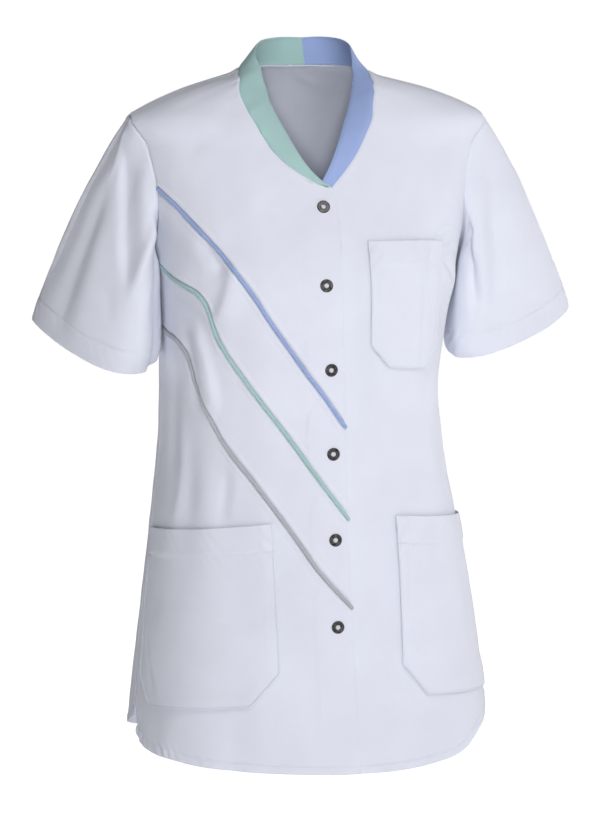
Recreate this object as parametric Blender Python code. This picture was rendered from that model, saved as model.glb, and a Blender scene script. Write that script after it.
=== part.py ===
"""A short-sleeved work tunic in white twill, filled out as if worn.

The cloth is a thin wall. Every cut piece is its own object: a back, four pieces of the wearer's
right front that meet in slanting piped seams, a left front, two sleeves, a two-coloured neck band,
three patch pockets, three pipings and six ring snaps. Metres, +Z up, the front faces -Y and the
wearer's left is +X. The origin is the centre of the neck, level with its base.
"""

import math

import bpy
import numpy as np

# Cloth
WALL = 0.0012
BAND_WALL = 0.0018
BAND_GAP = 0.0004
BAND_TRIM = 0.0015
SEAM = 0.0003
OVERLAP_LIFT = WALL + 0.0010
POCKET_GAP = 0.0007
POCKET_FULLNESS = 0.0022
POCKET_FULL_FROM = 0.7

# Closure: the wearer's right front lies on the left front
SNAP_RADIUS = 0.0064
SNAP_HOLE = 0.0023
SNAP_HEIGHT = 0.0017
SNAP_BACK_RADIUS = 0.0054
SNAP_BACK_HEIGHT = 0.0010
SNAP_GAP = 0.00045
SNAP_STEPS = 16
SNAP_BACK_STEPS = 12
UNDERLAP = 0.019
UNDERLAP_HEM = -0.7195
UNDERLAP_DROP = 0.004
LIFT_START = -32.0
LIFT_END = -20.0

# A ring's section: share of the way from its hole to its rim, and share of its height
RING_PROFILE = ((0, 0), (1, 0), (1, 0.45), (2 / 3, 1), (1 / 3, 1), (0, 0.6))

# Piping
PIPING_WIDTH = 0.0042
PIPING_HEIGHT = 0.0013
PIPING_START = 0.2
PIPING_SEAT = 0.0004
PIPING_SHOULDER = 0.7

# Back seam of the neck band, turned a little to the wearer's left
BAND_BACK_ANGLE = 168.0

# Grid sizes, in cells
FRONT_COLUMNS = 18
LEFT_COLUMNS = 14
BACK_SHOULDER_COLUMNS = 6
BACK_NECK_COLUMNS = 12
SIDE_ROWS_LOW = 13
SIDE_ROWS_HIGH = 2
ARMHOLE_ROWS = 10
BLUE_ARMHOLE_ROW = 4
SLEEVE_ROWS = 11
NECK_ROWS = 12
FRONT_EDGE_ROWS = 6
BAND_SPLIT = 2
BAND_ROWS = 2
GREY_TO_MINT_ROWS = 4
POCKET_CHAMFER_CELLS = 2

# The general figure: level sections, front middle at angle 0, the wearer's left side at 90
SECTION_COLUMNS = ("height", "half_width", "front_depth", "back_depth", "squareness", "sway")
SECTIONS = (
    (0.000, 0.070, 0.044, 0.062, 0.000, 0.000),
    (-0.008, 0.083, 0.048, 0.067, 0.000, -0.002),
    (-0.024, 0.133, 0.057, 0.077, 0.005, 0.002),
    (-0.039, 0.169, 0.064, 0.085, 0.010, 0.004),
    (-0.048, 0.185, 0.069, 0.089, 0.012, 0.004),
    (-0.080, 0.182, 0.084, 0.101, 0.020, 0.001),
    (-0.130, 0.173, 0.106, 0.112, 0.030, 0.000),
    (-0.180, 0.163, 0.124, 0.117, 0.038, 0.000),
    (-0.228, 0.154, 0.134, 0.117, 0.045, -0.001),
    (-0.280, 0.148, 0.137, 0.113, 0.048, -0.004),
    (-0.335, 0.145, 0.135, 0.110, 0.045, -0.006),
    (-0.400, 0.150, 0.134, 0.114, 0.040, -0.004),
    (-0.465, 0.160, 0.137, 0.122, 0.036, -0.001),
    (-0.560, 0.174, 0.143, 0.132, 0.032, 0.002),
    (-0.655, 0.187, 0.148, 0.140, 0.030, 0.004),
    (-0.760, 0.198, 0.153, 0.146, 0.030, 0.005),
)

# Cut lines, as an angle round the figure and a height; those of the sides are mirrored
ARMHOLE_FRONT = (
    (90.0, -0.048),
    (79.0, -0.053),
    (71.0, -0.064),
    (67.0, -0.084),
    (65.0, -0.108),
    (66.0, -0.130),
    (70.0, -0.152),
    (76.0, -0.172),
    (83.0, -0.187),
    (90.0, -0.196),
)
ARMHOLE_BACK = (
    (90.0, -0.048),
    (98.0, -0.053),
    (104.0, -0.064),
    (109.0, -0.084),
    (112.0, -0.108),
    (112.0, -0.130),
    (109.0, -0.152),
    (104.0, -0.172),
    (97.0, -0.187),
    (90.0, -0.196),
)
NECKLINE_RIGHT = (
    (-2.0, -0.1200),
    (1.8, -0.1156),
    (4.8, -0.1103),
    (8.8, -0.1017),
    (12.5, -0.0912),
    (15.5, -0.0799),
    (17.7, -0.0673),
    (20.0, -0.0546),
    (24.7, -0.0421),
    (33.7, -0.0285),
    (48.8, -0.0161),
    (71.0, -0.0050),
    (90.0, 0.0),
)
NECKLINE_LEFT = (
    (2.0, -0.1200),
    (4.2, -0.1124),
    (8.1, -0.0979),
    (12.2, -0.0786),
    (14.9, -0.0593),
    (19.3, -0.0399),
    (29.1, -0.0238),
    (42.8, -0.0136),
    (60.0, -0.0058),
    (90.0, 0.0),
)
HEM_RIGHT = (
    (-10.0, -0.7215),
    (0.0, -0.7212),
    (10.0, -0.7195),
    (28.0, -0.7165),
    (44.0, -0.7135),
    (56.0, -0.7105),
    (67.0, -0.7085),
    (75.0, -0.7040),
    (80.0, -0.6960),
)
HEM_LEFT = (
    (-10.0, -0.7205),
    (0.0, -0.7212),
    (17.0, -0.7218),
    (30.0, -0.7185),
    (41.6, -0.7130),
    (50.0, -0.7030),
    (60.5, -0.6925),
    (74.0, -0.6810),
    (80.0, -0.6740),
)
HEM_BACK = (
    (84.0, -0.6800),
    (95.0, -0.6930),
    (110.0, -0.7050),
    (130.0, -0.7180),
    (155.0, -0.7260),
    (180.0, -0.7290),
)
VENT_TOP = -0.600
SIDE_SEAM_LOW = -0.690
FRONT_REACH = 40.0

# Front edge and snap line: distance to the wearer's left of the middle, by height
FRONT_EDGE = (
    (-0.120, 0.0085),
    (-0.140, 0.0118),
    (-0.162, 0.0132),
    (-0.217, 0.0126),
    (-0.302, 0.0134),
    (-0.389, 0.0156),
    (-0.478, 0.0182),
    (-0.568, 0.0209),
    (-0.625, 0.0240),
    (-0.722, 0.0285),
)
SNAPS = (
    (-0.1389, -0.0026),
    (-0.2167, -0.0043),
    (-0.3020, -0.0003),
    (-0.3890, 0.0025),
    (-0.4777, 0.0040),
    (-0.5676, 0.0055),
)

# Slanting seams of the wearer's right front, from the side to the front edge
SEAM_BLUE = (
    (-65.4, -0.1210),
    (-55.0, -0.1388),
    (-47.2, -0.1568),
    (-36.2, -0.1873),
    (-26.2, -0.2244),
    (-20.0, -0.2512),
    (-13.6, -0.2768),
    (-7.3, -0.3026),
    (-1.0, -0.3271),
    (6.6, -0.3605),
)
SEAM_MINT = (
    (-90.0, -0.1960),
    (-79.0, -0.2010),
    (-68.4, -0.2095),
    (-58.0, -0.2185),
    (-51.6, -0.2247),
    (-47.9, -0.2331),
    (-45.4, -0.2456),
    (-42.0, -0.2670),
    (-37.8, -0.2830),
    (-31.5, -0.3045),
    (-25.0, -0.3263),
    (-16.3, -0.3576),
    (-4.5, -0.4081),
    (5.9, -0.4557),
)
SEAM_GREY = (
    (-90.0, -0.2660),
    (-78.2, -0.2712),
    (-66.8, -0.2772),
    (-61.0, -0.2868),
    (-57.2, -0.3007),
    (-54.6, -0.3187),
    (-51.1, -0.3328),
    (-45.8, -0.3522),
    (-39.4, -0.3753),
    (-26.5, -0.4148),
    (-14.1, -0.4625),
    (-3.0, -0.5148),
    (5.4, -0.5475),
)

# Largest folds: a line from one angle and height to another, how far it reaches to each side,
# and how far out (+) or in (-) the cloth stands there
BODY_FOLD_COLUMNS = ("angle_1", "height_1", "angle_2", "height_2", "reach", "out")
BODY_FOLDS = (
    (-66.0, -0.232, -47.0, -0.262, 0.013, -0.0030),
    (-74.0, -0.205, -50.0, -0.215, 0.014, 0.0035),
    (-60.0, -0.285, -46.0, -0.330, 0.015, 0.0030),
    (-58.0, -0.375, -55.0, -0.500, 0.017, -0.0035),
    (-36.0, -0.400, -34.0, -0.520, 0.020, -0.0025),
    (52.0, -0.200, 72.0, -0.235, 0.013, 0.0035),
    (48.0, -0.235, 66.0, -0.290, 0.014, -0.0030),
    (24.0, -0.330, 20.0, -0.450, 0.020, -0.0030),
    (46.0, -0.345, 44.0, -0.440, 0.018, 0.0025),
    (125.0, -0.240, 150.0, -0.300, 0.018, -0.0035),
    (-125.0, -0.240, -150.0, -0.310, 0.018, -0.0035),
    (140.0, -0.340, 146.0, -0.520, 0.020, 0.0035),
    (-142.0, -0.340, -148.0, -0.540, 0.020, 0.0035),
    (176.0, -0.330, 178.0, -0.500, 0.022, -0.0030),
)
FOLD_RADIUS = 0.145
FOLD_END_SHARE = 0.35

# Neck band: where each ruling leaves the neck seam and where its upper edge lies
BAND_COLUMNS_OF_TABLE = ("angle", "edge_x_right", "edge_x_left", "edge_y", "edge_height", "out")
BAND = (
    (2.0, -0.0028, -0.0019, -0.1010, -0.1130, 0.0015),
    (8.0, -0.0175, 0.0090, -0.0935, -0.0945, 0.0014),
    (15.3, -0.0304, 0.0220, -0.0765, -0.0700, 0.0012),
    (19.5, -0.0416, 0.0345, -0.0560, -0.0444, 0.0012),
    (30.0, -0.0455, 0.0443, -0.0340, -0.0216, 0.0006),
    (58.0, -0.0482, 0.0490, -0.0150, 0.0005, 0.0000),
    (90.0, -0.0510, 0.0525, 0.0020, 0.0150, 0.0000),
    (115.0, -0.0450, 0.0540, 0.0210, 0.0235, 0.0000),
    (140.0, -0.0310, 0.0480, 0.0460, 0.0285, 0.0000),
    (160.0, -0.0100, 0.0330, 0.0625, 0.0298, 0.0000),
    (180.0, 0.0125, 0.0125, 0.0665, 0.0290, 0.0000),
)

# Sleeves: four places round the hem, and how far the sleeve keeps the cap's direction
SLEEVE_COLUMNS = ("side", "outer", "front", "under", "back", "cap_reach")
SLEEVES = (
    (-1, (0.2804, 0.0473, -0.2647), (0.2143, -0.0562, -0.3074), (0.1592, 0.0130, -0.2944),
     (0.2179, 0.0738, -0.2827), 0.085),
    (1, (0.2940, 0.0115, -0.2587), (0.1982, -0.0504, -0.2994), (0.1572, 0.0077, -0.2972),
     (0.2171, 0.0525, -0.2706), 0.105),
)
SLEEVE_GAP = 0.0011
HEM_REACH = 0.150
CAP_LIFT = (0.78, -0.62)
UNDERARM_RUN = (0.45, -0.89)
FORWARD_FLARE = 0.22
UNDERARM_REACH_SHARE = 0.6
UNDERARM_SHARE = 0.625

# Sleeve folds: round the sleeve from its top over the front, and along it from 0 to 1
SLEEVE_FOLD_COLUMNS = ("side", "round_1", "along_1", "round_2", "along_2", "reach", "out")
SLEEVE_FOLDS = (
    (-1, 128.0, 0.08, 104.0, 0.56, 0.010, -0.0060),
    (-1, 150.0, 0.10, 134.0, 0.60, 0.012, 0.0045),
    (-1, 40.0, 0.12, 46.0, 0.85, 0.018, -0.0035),
    (-1, 250.0, 0.15, 262.0, 0.75, 0.018, -0.0040),
    (1, 126.0, 0.15, 108.0, 0.60, 0.011, -0.0050),
    (1, 148.0, 0.10, 138.0, 0.70, 0.012, 0.0040),
    (1, 52.0, 0.20, 60.0, 0.85, 0.018, -0.0030),
    (1, 246.0, 0.15, 256.0, 0.75, 0.018, -0.0040),
)
SLEEVE_GIRTH = 0.40
SLEEVE_LENGTH = 0.19
SLEEVE_FOLD_START = 0.12

# Patch pockets: the four corners of each, as angle and height, the chamfer's size as a share
# of the width and of the height, and the cells across and down
POCKET_COLUMNS = (
    "name", "top_inner", "top_outer", "low_inner", "low_outer", "chamfer", "rise", "across", "down",
)
POCKETS = (
    ("pocket_chest", (12.6, -0.1730), (45.4, -0.1755), (15.6, -0.3000), (49.0, -0.3080),
     0.22, 0.170, 8, 7),
    ("pocket_hip_right", (-18.9, -0.4590), (-87.0, -0.4800), (-15.8, -0.6470), (-79.5, -0.6640),
     0.15, 0.175, 12, 9),
    ("pocket_hip_left", (23.4, -0.4560), (87.0, -0.4740), (20.6, -0.6430), (79.5, -0.6580),
     0.15, 0.175, 11, 9),
)

WHITE = (0.86, 0.87, 0.90)
MINT = (0.42, 0.68, 0.60)
BLUE = (0.30, 0.41, 0.74)
GREY = (0.47, 0.49, 0.52)
DARK_METAL = (0.22, 0.22, 0.23)


def column(table, names, name):
    """One named column of a table, as numbers."""
    return np.array([row[names.index(name)] for row in table], float)


def smooth(knots, values, at):
    """A smooth curve through the values, read at the given places."""
    knots = np.asarray(knots, float)
    values = np.asarray(values, float).reshape(len(knots), -1)
    order = np.argsort(knots)
    knots, values = knots[order], values[order]
    step = np.diff(knots)[:, None]
    rise = np.diff(values, axis=0) / step
    slope = np.empty_like(values)
    slope[0], slope[-1] = rise[0], rise[-1]
    share = step[1:] / (step[1:] + step[:-1])
    slope[1:-1] = rise[:-1] * share + rise[1:] * (1 - share)
    at = np.clip(np.asarray(at, float), knots[0], knots[-1])
    low = np.clip(np.searchsorted(knots, at, side="right") - 1, 0, len(knots) - 2)
    width = step[low]
    t = (at - knots[low])[..., None] / width
    start = (2 * t**3 - 3 * t**2 + 1) * values[low] + (t**3 - 2 * t**2 + t) * width * slope[low]
    end = (3 * t**2 - 2 * t**3) * values[low + 1] + (t**3 - t**2) * width * slope[low + 1]
    result = start + end
    return result[..., 0] if result.shape[-1] == 1 else result


def along(points, count=None, shares=None):
    """Points of a smooth curve through a table's rows, spaced evenly or at given shares."""
    points = np.asarray(points, float)
    scaled = points * (math.radians(1) * FOLD_RADIUS, 1.0)
    length = np.r_[0, np.cumsum(np.linalg.norm(np.diff(scaled, axis=0), axis=1))]
    if shares is None:
        shares = np.linspace(0, 1, count + 1)
    return smooth(length, points, np.asarray(shares) * length[-1])


def ease(value):
    """0 below 0, 1 above 1 and smooth between."""
    value = np.clip(value, 0, 1)
    return value * value * (3 - 2 * value)


def figure(angle, height):
    """A point of the general figure."""
    angle = np.asarray(angle, float)
    height = np.asarray(height, float)
    heights = column(SECTIONS, SECTION_COLUMNS, "height")
    sizes = [column(SECTIONS, SECTION_COLUMNS, name) for name in SECTION_COLUMNS[1:]]
    width, front, back, square, sway = np.moveaxis(
        smooth(heights, np.transpose(sizes), height), -1, 0
    )
    turn = np.radians(angle)
    x = sway + width * (np.sin(turn) + square * np.sin(3 * turn)) / (1 - square)
    forward = (np.cos(turn) - square * np.cos(3 * turn)) / (1 - square)
    y = -np.where(forward >= 0, front, back) * forward
    return np.stack([x, y, height + 0 * x], -1)


def outward(angle, height):
    """The figure's outward direction."""
    step_angle, step_height = 0.05, 0.0002
    height = np.clip(height, -0.755, -step_height)
    across = figure(angle + step_angle, height) - figure(angle - step_angle, height)
    up = figure(angle, height + step_height) - figure(angle, height - step_height)
    normal = np.cross(across, up)
    return normal / np.linalg.norm(normal, axis=-1, keepdims=True)


def fold_distance(a, b, a1, b1, a2, b2):
    """Distance to a straight line in the flat cloth, and the place along it."""
    run_a, run_b = a2 - a1, b2 - b1
    share = ((a - a1) * run_a + (b - b1) * run_b) / (run_a**2 + run_b**2)
    held = np.clip(share, 0, 1)
    return np.hypot(a - a1 - held * run_a, b - b1 - held * run_b), held


def swell(share):
    """A fold's strength along its line: fullest at the middle, weaker at both ends."""
    return FOLD_END_SHARE + (1 - FOLD_END_SHARE) * np.sin(math.pi * share)


def fold_out(angle, height):
    """How far the body's folds move the cloth out."""
    total = np.zeros(np.broadcast(angle, height).shape)
    arc = np.radians(1) * FOLD_RADIUS
    for angle_1, height_1, angle_2, height_2, reach, out in BODY_FOLDS:
        away, share = fold_distance(
            angle * arc, height, angle_1 * arc, height_1, angle_2 * arc, height_2
        )
        total += out * swell(share) * np.exp(-((away / reach) ** 2))
    return total


def cloth(angle, height, lift=0.0):
    """A point of the cloth's inner side, moved out by lift, and its outward direction."""
    angle, height = np.asarray(angle, float), np.asarray(height, float)
    wrapped = (angle + 180) % 360 - 180
    normal = outward(angle, height)
    point = figure(angle, height) + normal * (fold_out(wrapped, height) + lift)[..., None]
    return point, normal


def angle_at(distance, height):
    """The angle on the front where the figure is that far to the wearer's left."""
    low = np.full(np.shape(height), -FRONT_REACH)
    high = np.full(np.shape(height), FRONT_REACH)
    for _ in range(30):
        middle = (low + high) / 2
        short = figure(middle, height)[..., 0] < distance
        low, high = np.where(short, middle, low), np.where(short, high, middle)
    return (low + high) / 2


def edge_line(table, heights, shift=0.0):
    """Angle and height along the front edge, at the given heights."""
    rows = np.array(table)
    distance = smooth(rows[:, 0], rows[:, 1], heights) + shift
    return np.stack([angle_at(distance, heights), heights], -1)


def coons(bottom, top, left, right):
    """A grid of rows from bottom to top between four lines of angle and height."""
    s = np.linspace(0, 1, len(bottom))[None, :, None]
    t = np.linspace(0, 1, len(left))[:, None, None]
    ruled = (1 - t) * bottom[None] + t * top[None]
    sides = (1 - s) * left[:, None] + s * right[:, None]
    corners = (1 - s) * ((1 - t) * bottom[0] + t * top[0]) + s * (
        (1 - t) * bottom[-1] + t * top[-1]
    )
    return ruled + sides - corners


def pulled_in(grid, edges):
    """The grid with the named edges drawn back by half the seam's gap."""
    grid = grid.copy()
    scale = np.array((math.radians(1) * FOLD_RADIUS, 1.0))
    views = {
        "bottom": (grid[0], grid[1]),
        "top": (grid[-1], grid[-2]),
        "left": (grid[:, 0], grid[:, 1]),
        "right": (grid[:, -1], grid[:, -2]),
    }
    moves = []
    for name in edges:
        rim, inner = views[name]
        run = (inner - rim) * scale
        length = np.maximum(np.linalg.norm(run, axis=-1, keepdims=True), 1e-9)
        moves.append((rim, run / length / scale * SEAM / 2))
    for rim, move in moves:
        rim += move
    return grid


def mesh_object(name, points, faces, material):
    """A closed mesh object with its faces pointing out."""
    points = np.asarray(points, float)
    corners = points[np.asarray(faces)]
    volume = np.einsum("ij,ij->i", corners[:, 0], np.cross(corners[:, 1], corners[:, 2])).sum()
    if volume < 0:
        faces = [face[::-1] for face in faces]
    mesh = bpy.data.meshes.new(name)
    mesh.from_pydata(points.tolist(), [], [tuple(map(int, face)) for face in faces])
    mesh.materials.append(material)
    mesh.update()
    mesh.shade_smooth()
    mesh.set_sharp_from_angle(angle=math.radians(50))
    piece = bpy.data.objects.new(name, mesh)
    bpy.context.scene.collection.objects.link(piece)
    return piece


def two_triangles(a, b, c, d, rising=True):
    """A four-sided cell as two triangles, cut from its first corner or from its second."""
    if rising:
        return [(a, b, c), (a, c, d)]
    return [(a, b, d), (b, c, d)]


def rising_cuts(points):
    """For each cell of a grid, whether the cut from its first corner is the shorter one."""
    first = np.linalg.norm(points[1:, 1:] - points[:-1, :-1], axis=-1)
    second = np.linalg.norm(points[1:, :-1] - points[:-1, 1:], axis=-1)
    return first <= second


def wall(name, inner, outer, material, closed=False):
    """A solid between two grids of points; closed joins its last column to its first."""
    rows, columns = inner.shape[:2]
    index = np.arange(rows * columns).reshape(rows, columns)
    if closed:
        index = np.hstack([index, index[:, :1]])
    rising = rising_cuts(outer.reshape(-1, 3)[index])
    under = index + rows * columns
    faces = []
    for r in range(index.shape[0] - 1):
        for c in range(index.shape[1] - 1):
            cell = (index[r, c], index[r, c + 1], index[r + 1, c + 1], index[r + 1, c])
            below = (under[r, c], under[r, c + 1], under[r + 1, c + 1], under[r + 1, c])
            faces += two_triangles(*cell, rising[r, c])
            faces += [face[::-1] for face in two_triangles(*below, rising[r, c])]
    rims = [(index[0, ::-1], under[0, ::-1]), (index[-1], under[-1])]
    if not closed:
        rims += [(index[:, 0], under[:, 0]), (index[::-1, -1], under[::-1, -1])]
    for top, low in rims:
        for k in range(len(top) - 1):
            faces += two_triangles(top[k], top[k + 1], low[k + 1], low[k])
    points = np.concatenate([outer.reshape(-1, 3), inner.reshape(-1, 3)])
    return mesh_object(name, points, faces, material)


def material(name, colour, roughness, metallic=0.0):
    result = bpy.data.materials.new(name)
    result.use_nodes = True
    shader = result.node_tree.nodes["Principled BSDF"]
    shader.inputs["Base Color"].default_value = (*colour, 1)
    shader.inputs["Roughness"].default_value = roughness
    shader.inputs["Metallic"].default_value = metallic
    result.diffuse_color = (*colour, 1)
    return result


class Panel:
    """A cut piece of the body: its grid of angles and heights, and its cloth points."""

    def __init__(self, name, grid, lift, trimmed):
        self.name = name
        self.grid = pulled_in(grid, trimmed)
        lifts = lift(self.grid)
        self.inner, self.normal = cloth(self.grid[..., 0], self.grid[..., 1], lifts)
        self.outer = self.inner + self.normal * WALL
        self.rising = rising_cuts(self.outer)

    def build(self):
        return wall(self.name, self.inner, self.outer, material(self.name, WHITE, 0.75))

    def locate(self, angle, height):
        """Row, column and triangle weights of the cell that holds a place."""
        grid = self.grid
        best = None
        for r in range(grid.shape[0] - 1):
            for c in range(grid.shape[1] - 1):
                cell = ((r, c), (r, c + 1), (r + 1, c + 1), (r + 1, c))
                for corner in two_triangles(*cell, self.rising[r, c]):
                    a, b, d = (grid[k] for k in corner)
                    sides = np.array([b - a, d - a]).T
                    if abs(np.linalg.det(sides)) < 1e-12:
                        continue
                    u, v = np.linalg.solve(sides, np.array((angle, height)) - a)
                    weights = np.array((1 - u - v, u, v))
                    short = -min(weights.min(), 0)
                    if best is None or short < best[0]:
                        best = (short, corner, weights)
                    if short == 0:
                        return corner, weights
        return best[1], best[2]

    def on_face(self, angle, height):
        """A point of the outer face and its outward direction there."""
        corner, weights = self.locate(angle, height)
        point = sum(w * self.outer[k] for w, k in zip(weights, corner))
        normal = sum(w * self.normal[k] for w, k in zip(weights, corner))
        return point, normal / np.linalg.norm(normal)


def side_heights():
    """The heights of the side seam's rows, shared by every piece that meets it."""
    low = np.linspace(SIDE_SEAM_LOW, SEAM_GREY[0][1], SIDE_ROWS_LOW + 1)
    high = np.linspace(SEAM_GREY[0][1], ARMHOLE_FRONT[-1][1], SIDE_ROWS_HIGH + 1)
    return np.r_[low, high[1:]]


def side_line(corner):
    """Angle and height up the side seam, which opens into a vent down to the hem's corner."""
    heights = side_heights()
    end, low = corner
    opened = ease((VENT_TOP - heights) / (VENT_TOP - heights[0]))
    angles = 90 + (end - 90) * opened
    heights = heights + (low - heights[0]) * opened
    return np.stack([angles, heights], -1)


def mirrored(line):
    return line * (-1, 1)


def right_lift(grid):
    """The right front rises onto the left front near the closure."""
    return OVERLAP_LIFT * ease((grid[..., 0] - LIFT_START) / (LIFT_END - LIFT_START))


def no_lift(grid):
    return np.zeros(grid.shape[:-1])


def right_front_panels():
    columns = FRONT_COLUMNS
    side = mirrored(side_line(HEM_RIGHT[-1]))
    armhole = mirrored(along(ARMHOLE_FRONT, ARMHOLE_ROWS))[::-1]
    armhole_low = armhole[: BLUE_ARMHOLE_ROW + 1]
    armhole_high = armhole[BLUE_ARMHOLE_ROW:]
    blue = along(SEAM_BLUE, columns)
    mint = along(SEAM_MINT, columns)
    grey = along(SEAM_GREY, columns)
    blue[0] = armhole_low[-1]
    for line in (blue, mint, grey):
        line[-1] = edge_line(FRONT_EDGE, line[-1:, 1])[0]
    hem_rows = np.array(HEM_RIGHT)
    closing = edge_line(FRONT_EDGE, np.array([FRONT_EDGE[-1][0]]))[0, 0]
    hem_angle = np.linspace(-HEM_RIGHT[-1][0], closing, columns + 1)
    hem = np.stack([hem_angle, smooth(hem_rows[:, 0], hem_rows[:, 1], -hem_angle)], -1)
    shoulder = np.stack(
        [np.full(columns + 1, -90.0), np.linspace(ARMHOLE_FRONT[0][1], 0.0, columns + 1)], -1
    )
    v_point = edge_line(FRONT_EDGE, np.array([NECKLINE_RIGHT[0][1]]))[0]
    neck_rows = along(np.r_[[v_point], mirrored(np.array(NECKLINE_RIGHT))[1:]], NECK_ROWS)
    edge_heights = np.linspace(blue[-1, 1], v_point[1], FRONT_EDGE_ROWS + 1)
    inner_top = np.r_[edge_line(FRONT_EDGE, edge_heights)[:-1], neck_rows]
    outer_top = along(armhole_high, len(inner_top) - 1)
    pieces = []

    def add(number, bottom, top, outer, inner, trimmed):
        grid = coons(bottom, top, outer, inner)
        pieces.append(Panel(f"front_right_{number}", grid, right_lift, trimmed))

    def edge_between(low, high, rows):
        return edge_line(FRONT_EDGE, np.linspace(low, high, rows + 1))

    upper_side = along(side[SIDE_ROWS_LOW:], GREY_TO_MINT_ROWS)
    lower_side = side[: SIDE_ROWS_LOW + 1]
    blue_edge = edge_between(mint[-1, 1], blue[-1, 1], len(armhole_low) - 1)
    mint_edge = edge_between(grey[-1, 1], mint[-1, 1], GREY_TO_MINT_ROWS)
    low_edge = edge_between(hem[-1, 1], grey[-1, 1], SIDE_ROWS_LOW)
    add(1, blue, shoulder, outer_top, inner_top, ("bottom", "top", "left", "right"))
    add(2, mint, blue, armhole_low, blue_edge, ("bottom", "top", "left"))
    add(3, grey, mint, upper_side, mint_edge, ("bottom", "top", "left"))
    add(4, hem, grey, lower_side, low_edge, ("top", "left"))
    return pieces


def left_front_panel():
    side = side_line(HEM_LEFT[-1])
    armhole = along(ARMHOLE_FRONT, NECK_ROWS)[::-1]
    outer = np.r_[side, armhole[1:]]
    under = -UNDERLAP
    v_height = NECKLINE_LEFT[0][1]
    heights = np.linspace(UNDERLAP_HEM, v_height - UNDERLAP_DROP, len(side))
    snap_rows = np.array(SNAPS)
    offset = smooth(snap_rows[:, 0], snap_rows[:, 1], heights) + under
    edge = np.stack([angle_at(offset, heights), heights], -1)
    neck = np.r_[edge[-1:], along(NECKLINE_LEFT, NECK_ROWS - 1)]
    inner = np.r_[edge, neck[1:]]
    hem_rows = np.array(HEM_LEFT)
    hem_angle = np.linspace(edge[0, 0], HEM_LEFT[-1][0], LEFT_COLUMNS + 1)
    hem = np.stack([hem_angle, smooth(hem_rows[:, 0], hem_rows[:, 1], hem_angle)], -1)
    hem[0], hem[-1] = inner[0], outer[0]
    shoulder_heights = np.linspace(0.0, ARMHOLE_FRONT[0][1], LEFT_COLUMNS + 1)
    shoulder = np.stack([np.full(LEFT_COLUMNS + 1, 90.0), shoulder_heights], -1)
    grid = coons(hem, shoulder, inner, outer)
    return Panel("front_left", grid, no_lift, ("top", "left", "right"))


def back_panel():
    side = side_line(HEM_BACK[0])
    armhole = along(ARMHOLE_BACK, ARMHOLE_ROWS)[::-1]
    left = np.r_[side, armhole[1:]]
    right = left * (-1, 1) + (360, 0)
    total = 2 * BACK_SHOULDER_COLUMNS + BACK_NECK_COLUMNS
    shoulder_heights = np.linspace(ARMHOLE_BACK[0][1], 0.0, BACK_SHOULDER_COLUMNS + 1)
    shoulder = np.stack([np.full(BACK_SHOULDER_COLUMNS + 1, 90.0), shoulder_heights], -1)
    neck_angle = np.linspace(90, 270, BACK_NECK_COLUMNS + 1)
    neck = np.stack([neck_angle, np.zeros(BACK_NECK_COLUMNS + 1)], -1)
    other = shoulder[::-1] * (-1, 1) + (360, 0)
    top = np.r_[shoulder, neck[1:], other[1:]]
    hem_rows = np.array(HEM_BACK)
    hem_angle = np.linspace(HEM_BACK[0][0], 360 - HEM_BACK[0][0], total + 1)
    folded = 180 - abs(180 - hem_angle)
    hem = np.stack([hem_angle, smooth(hem_rows[:, 0], hem_rows[:, 1], folded)], -1)
    hem[0], hem[-1] = left[0], right[0]
    grid = coons(hem, top, left, right)
    return Panel("back", grid, no_lift, ("top", "left", "right"))


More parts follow.
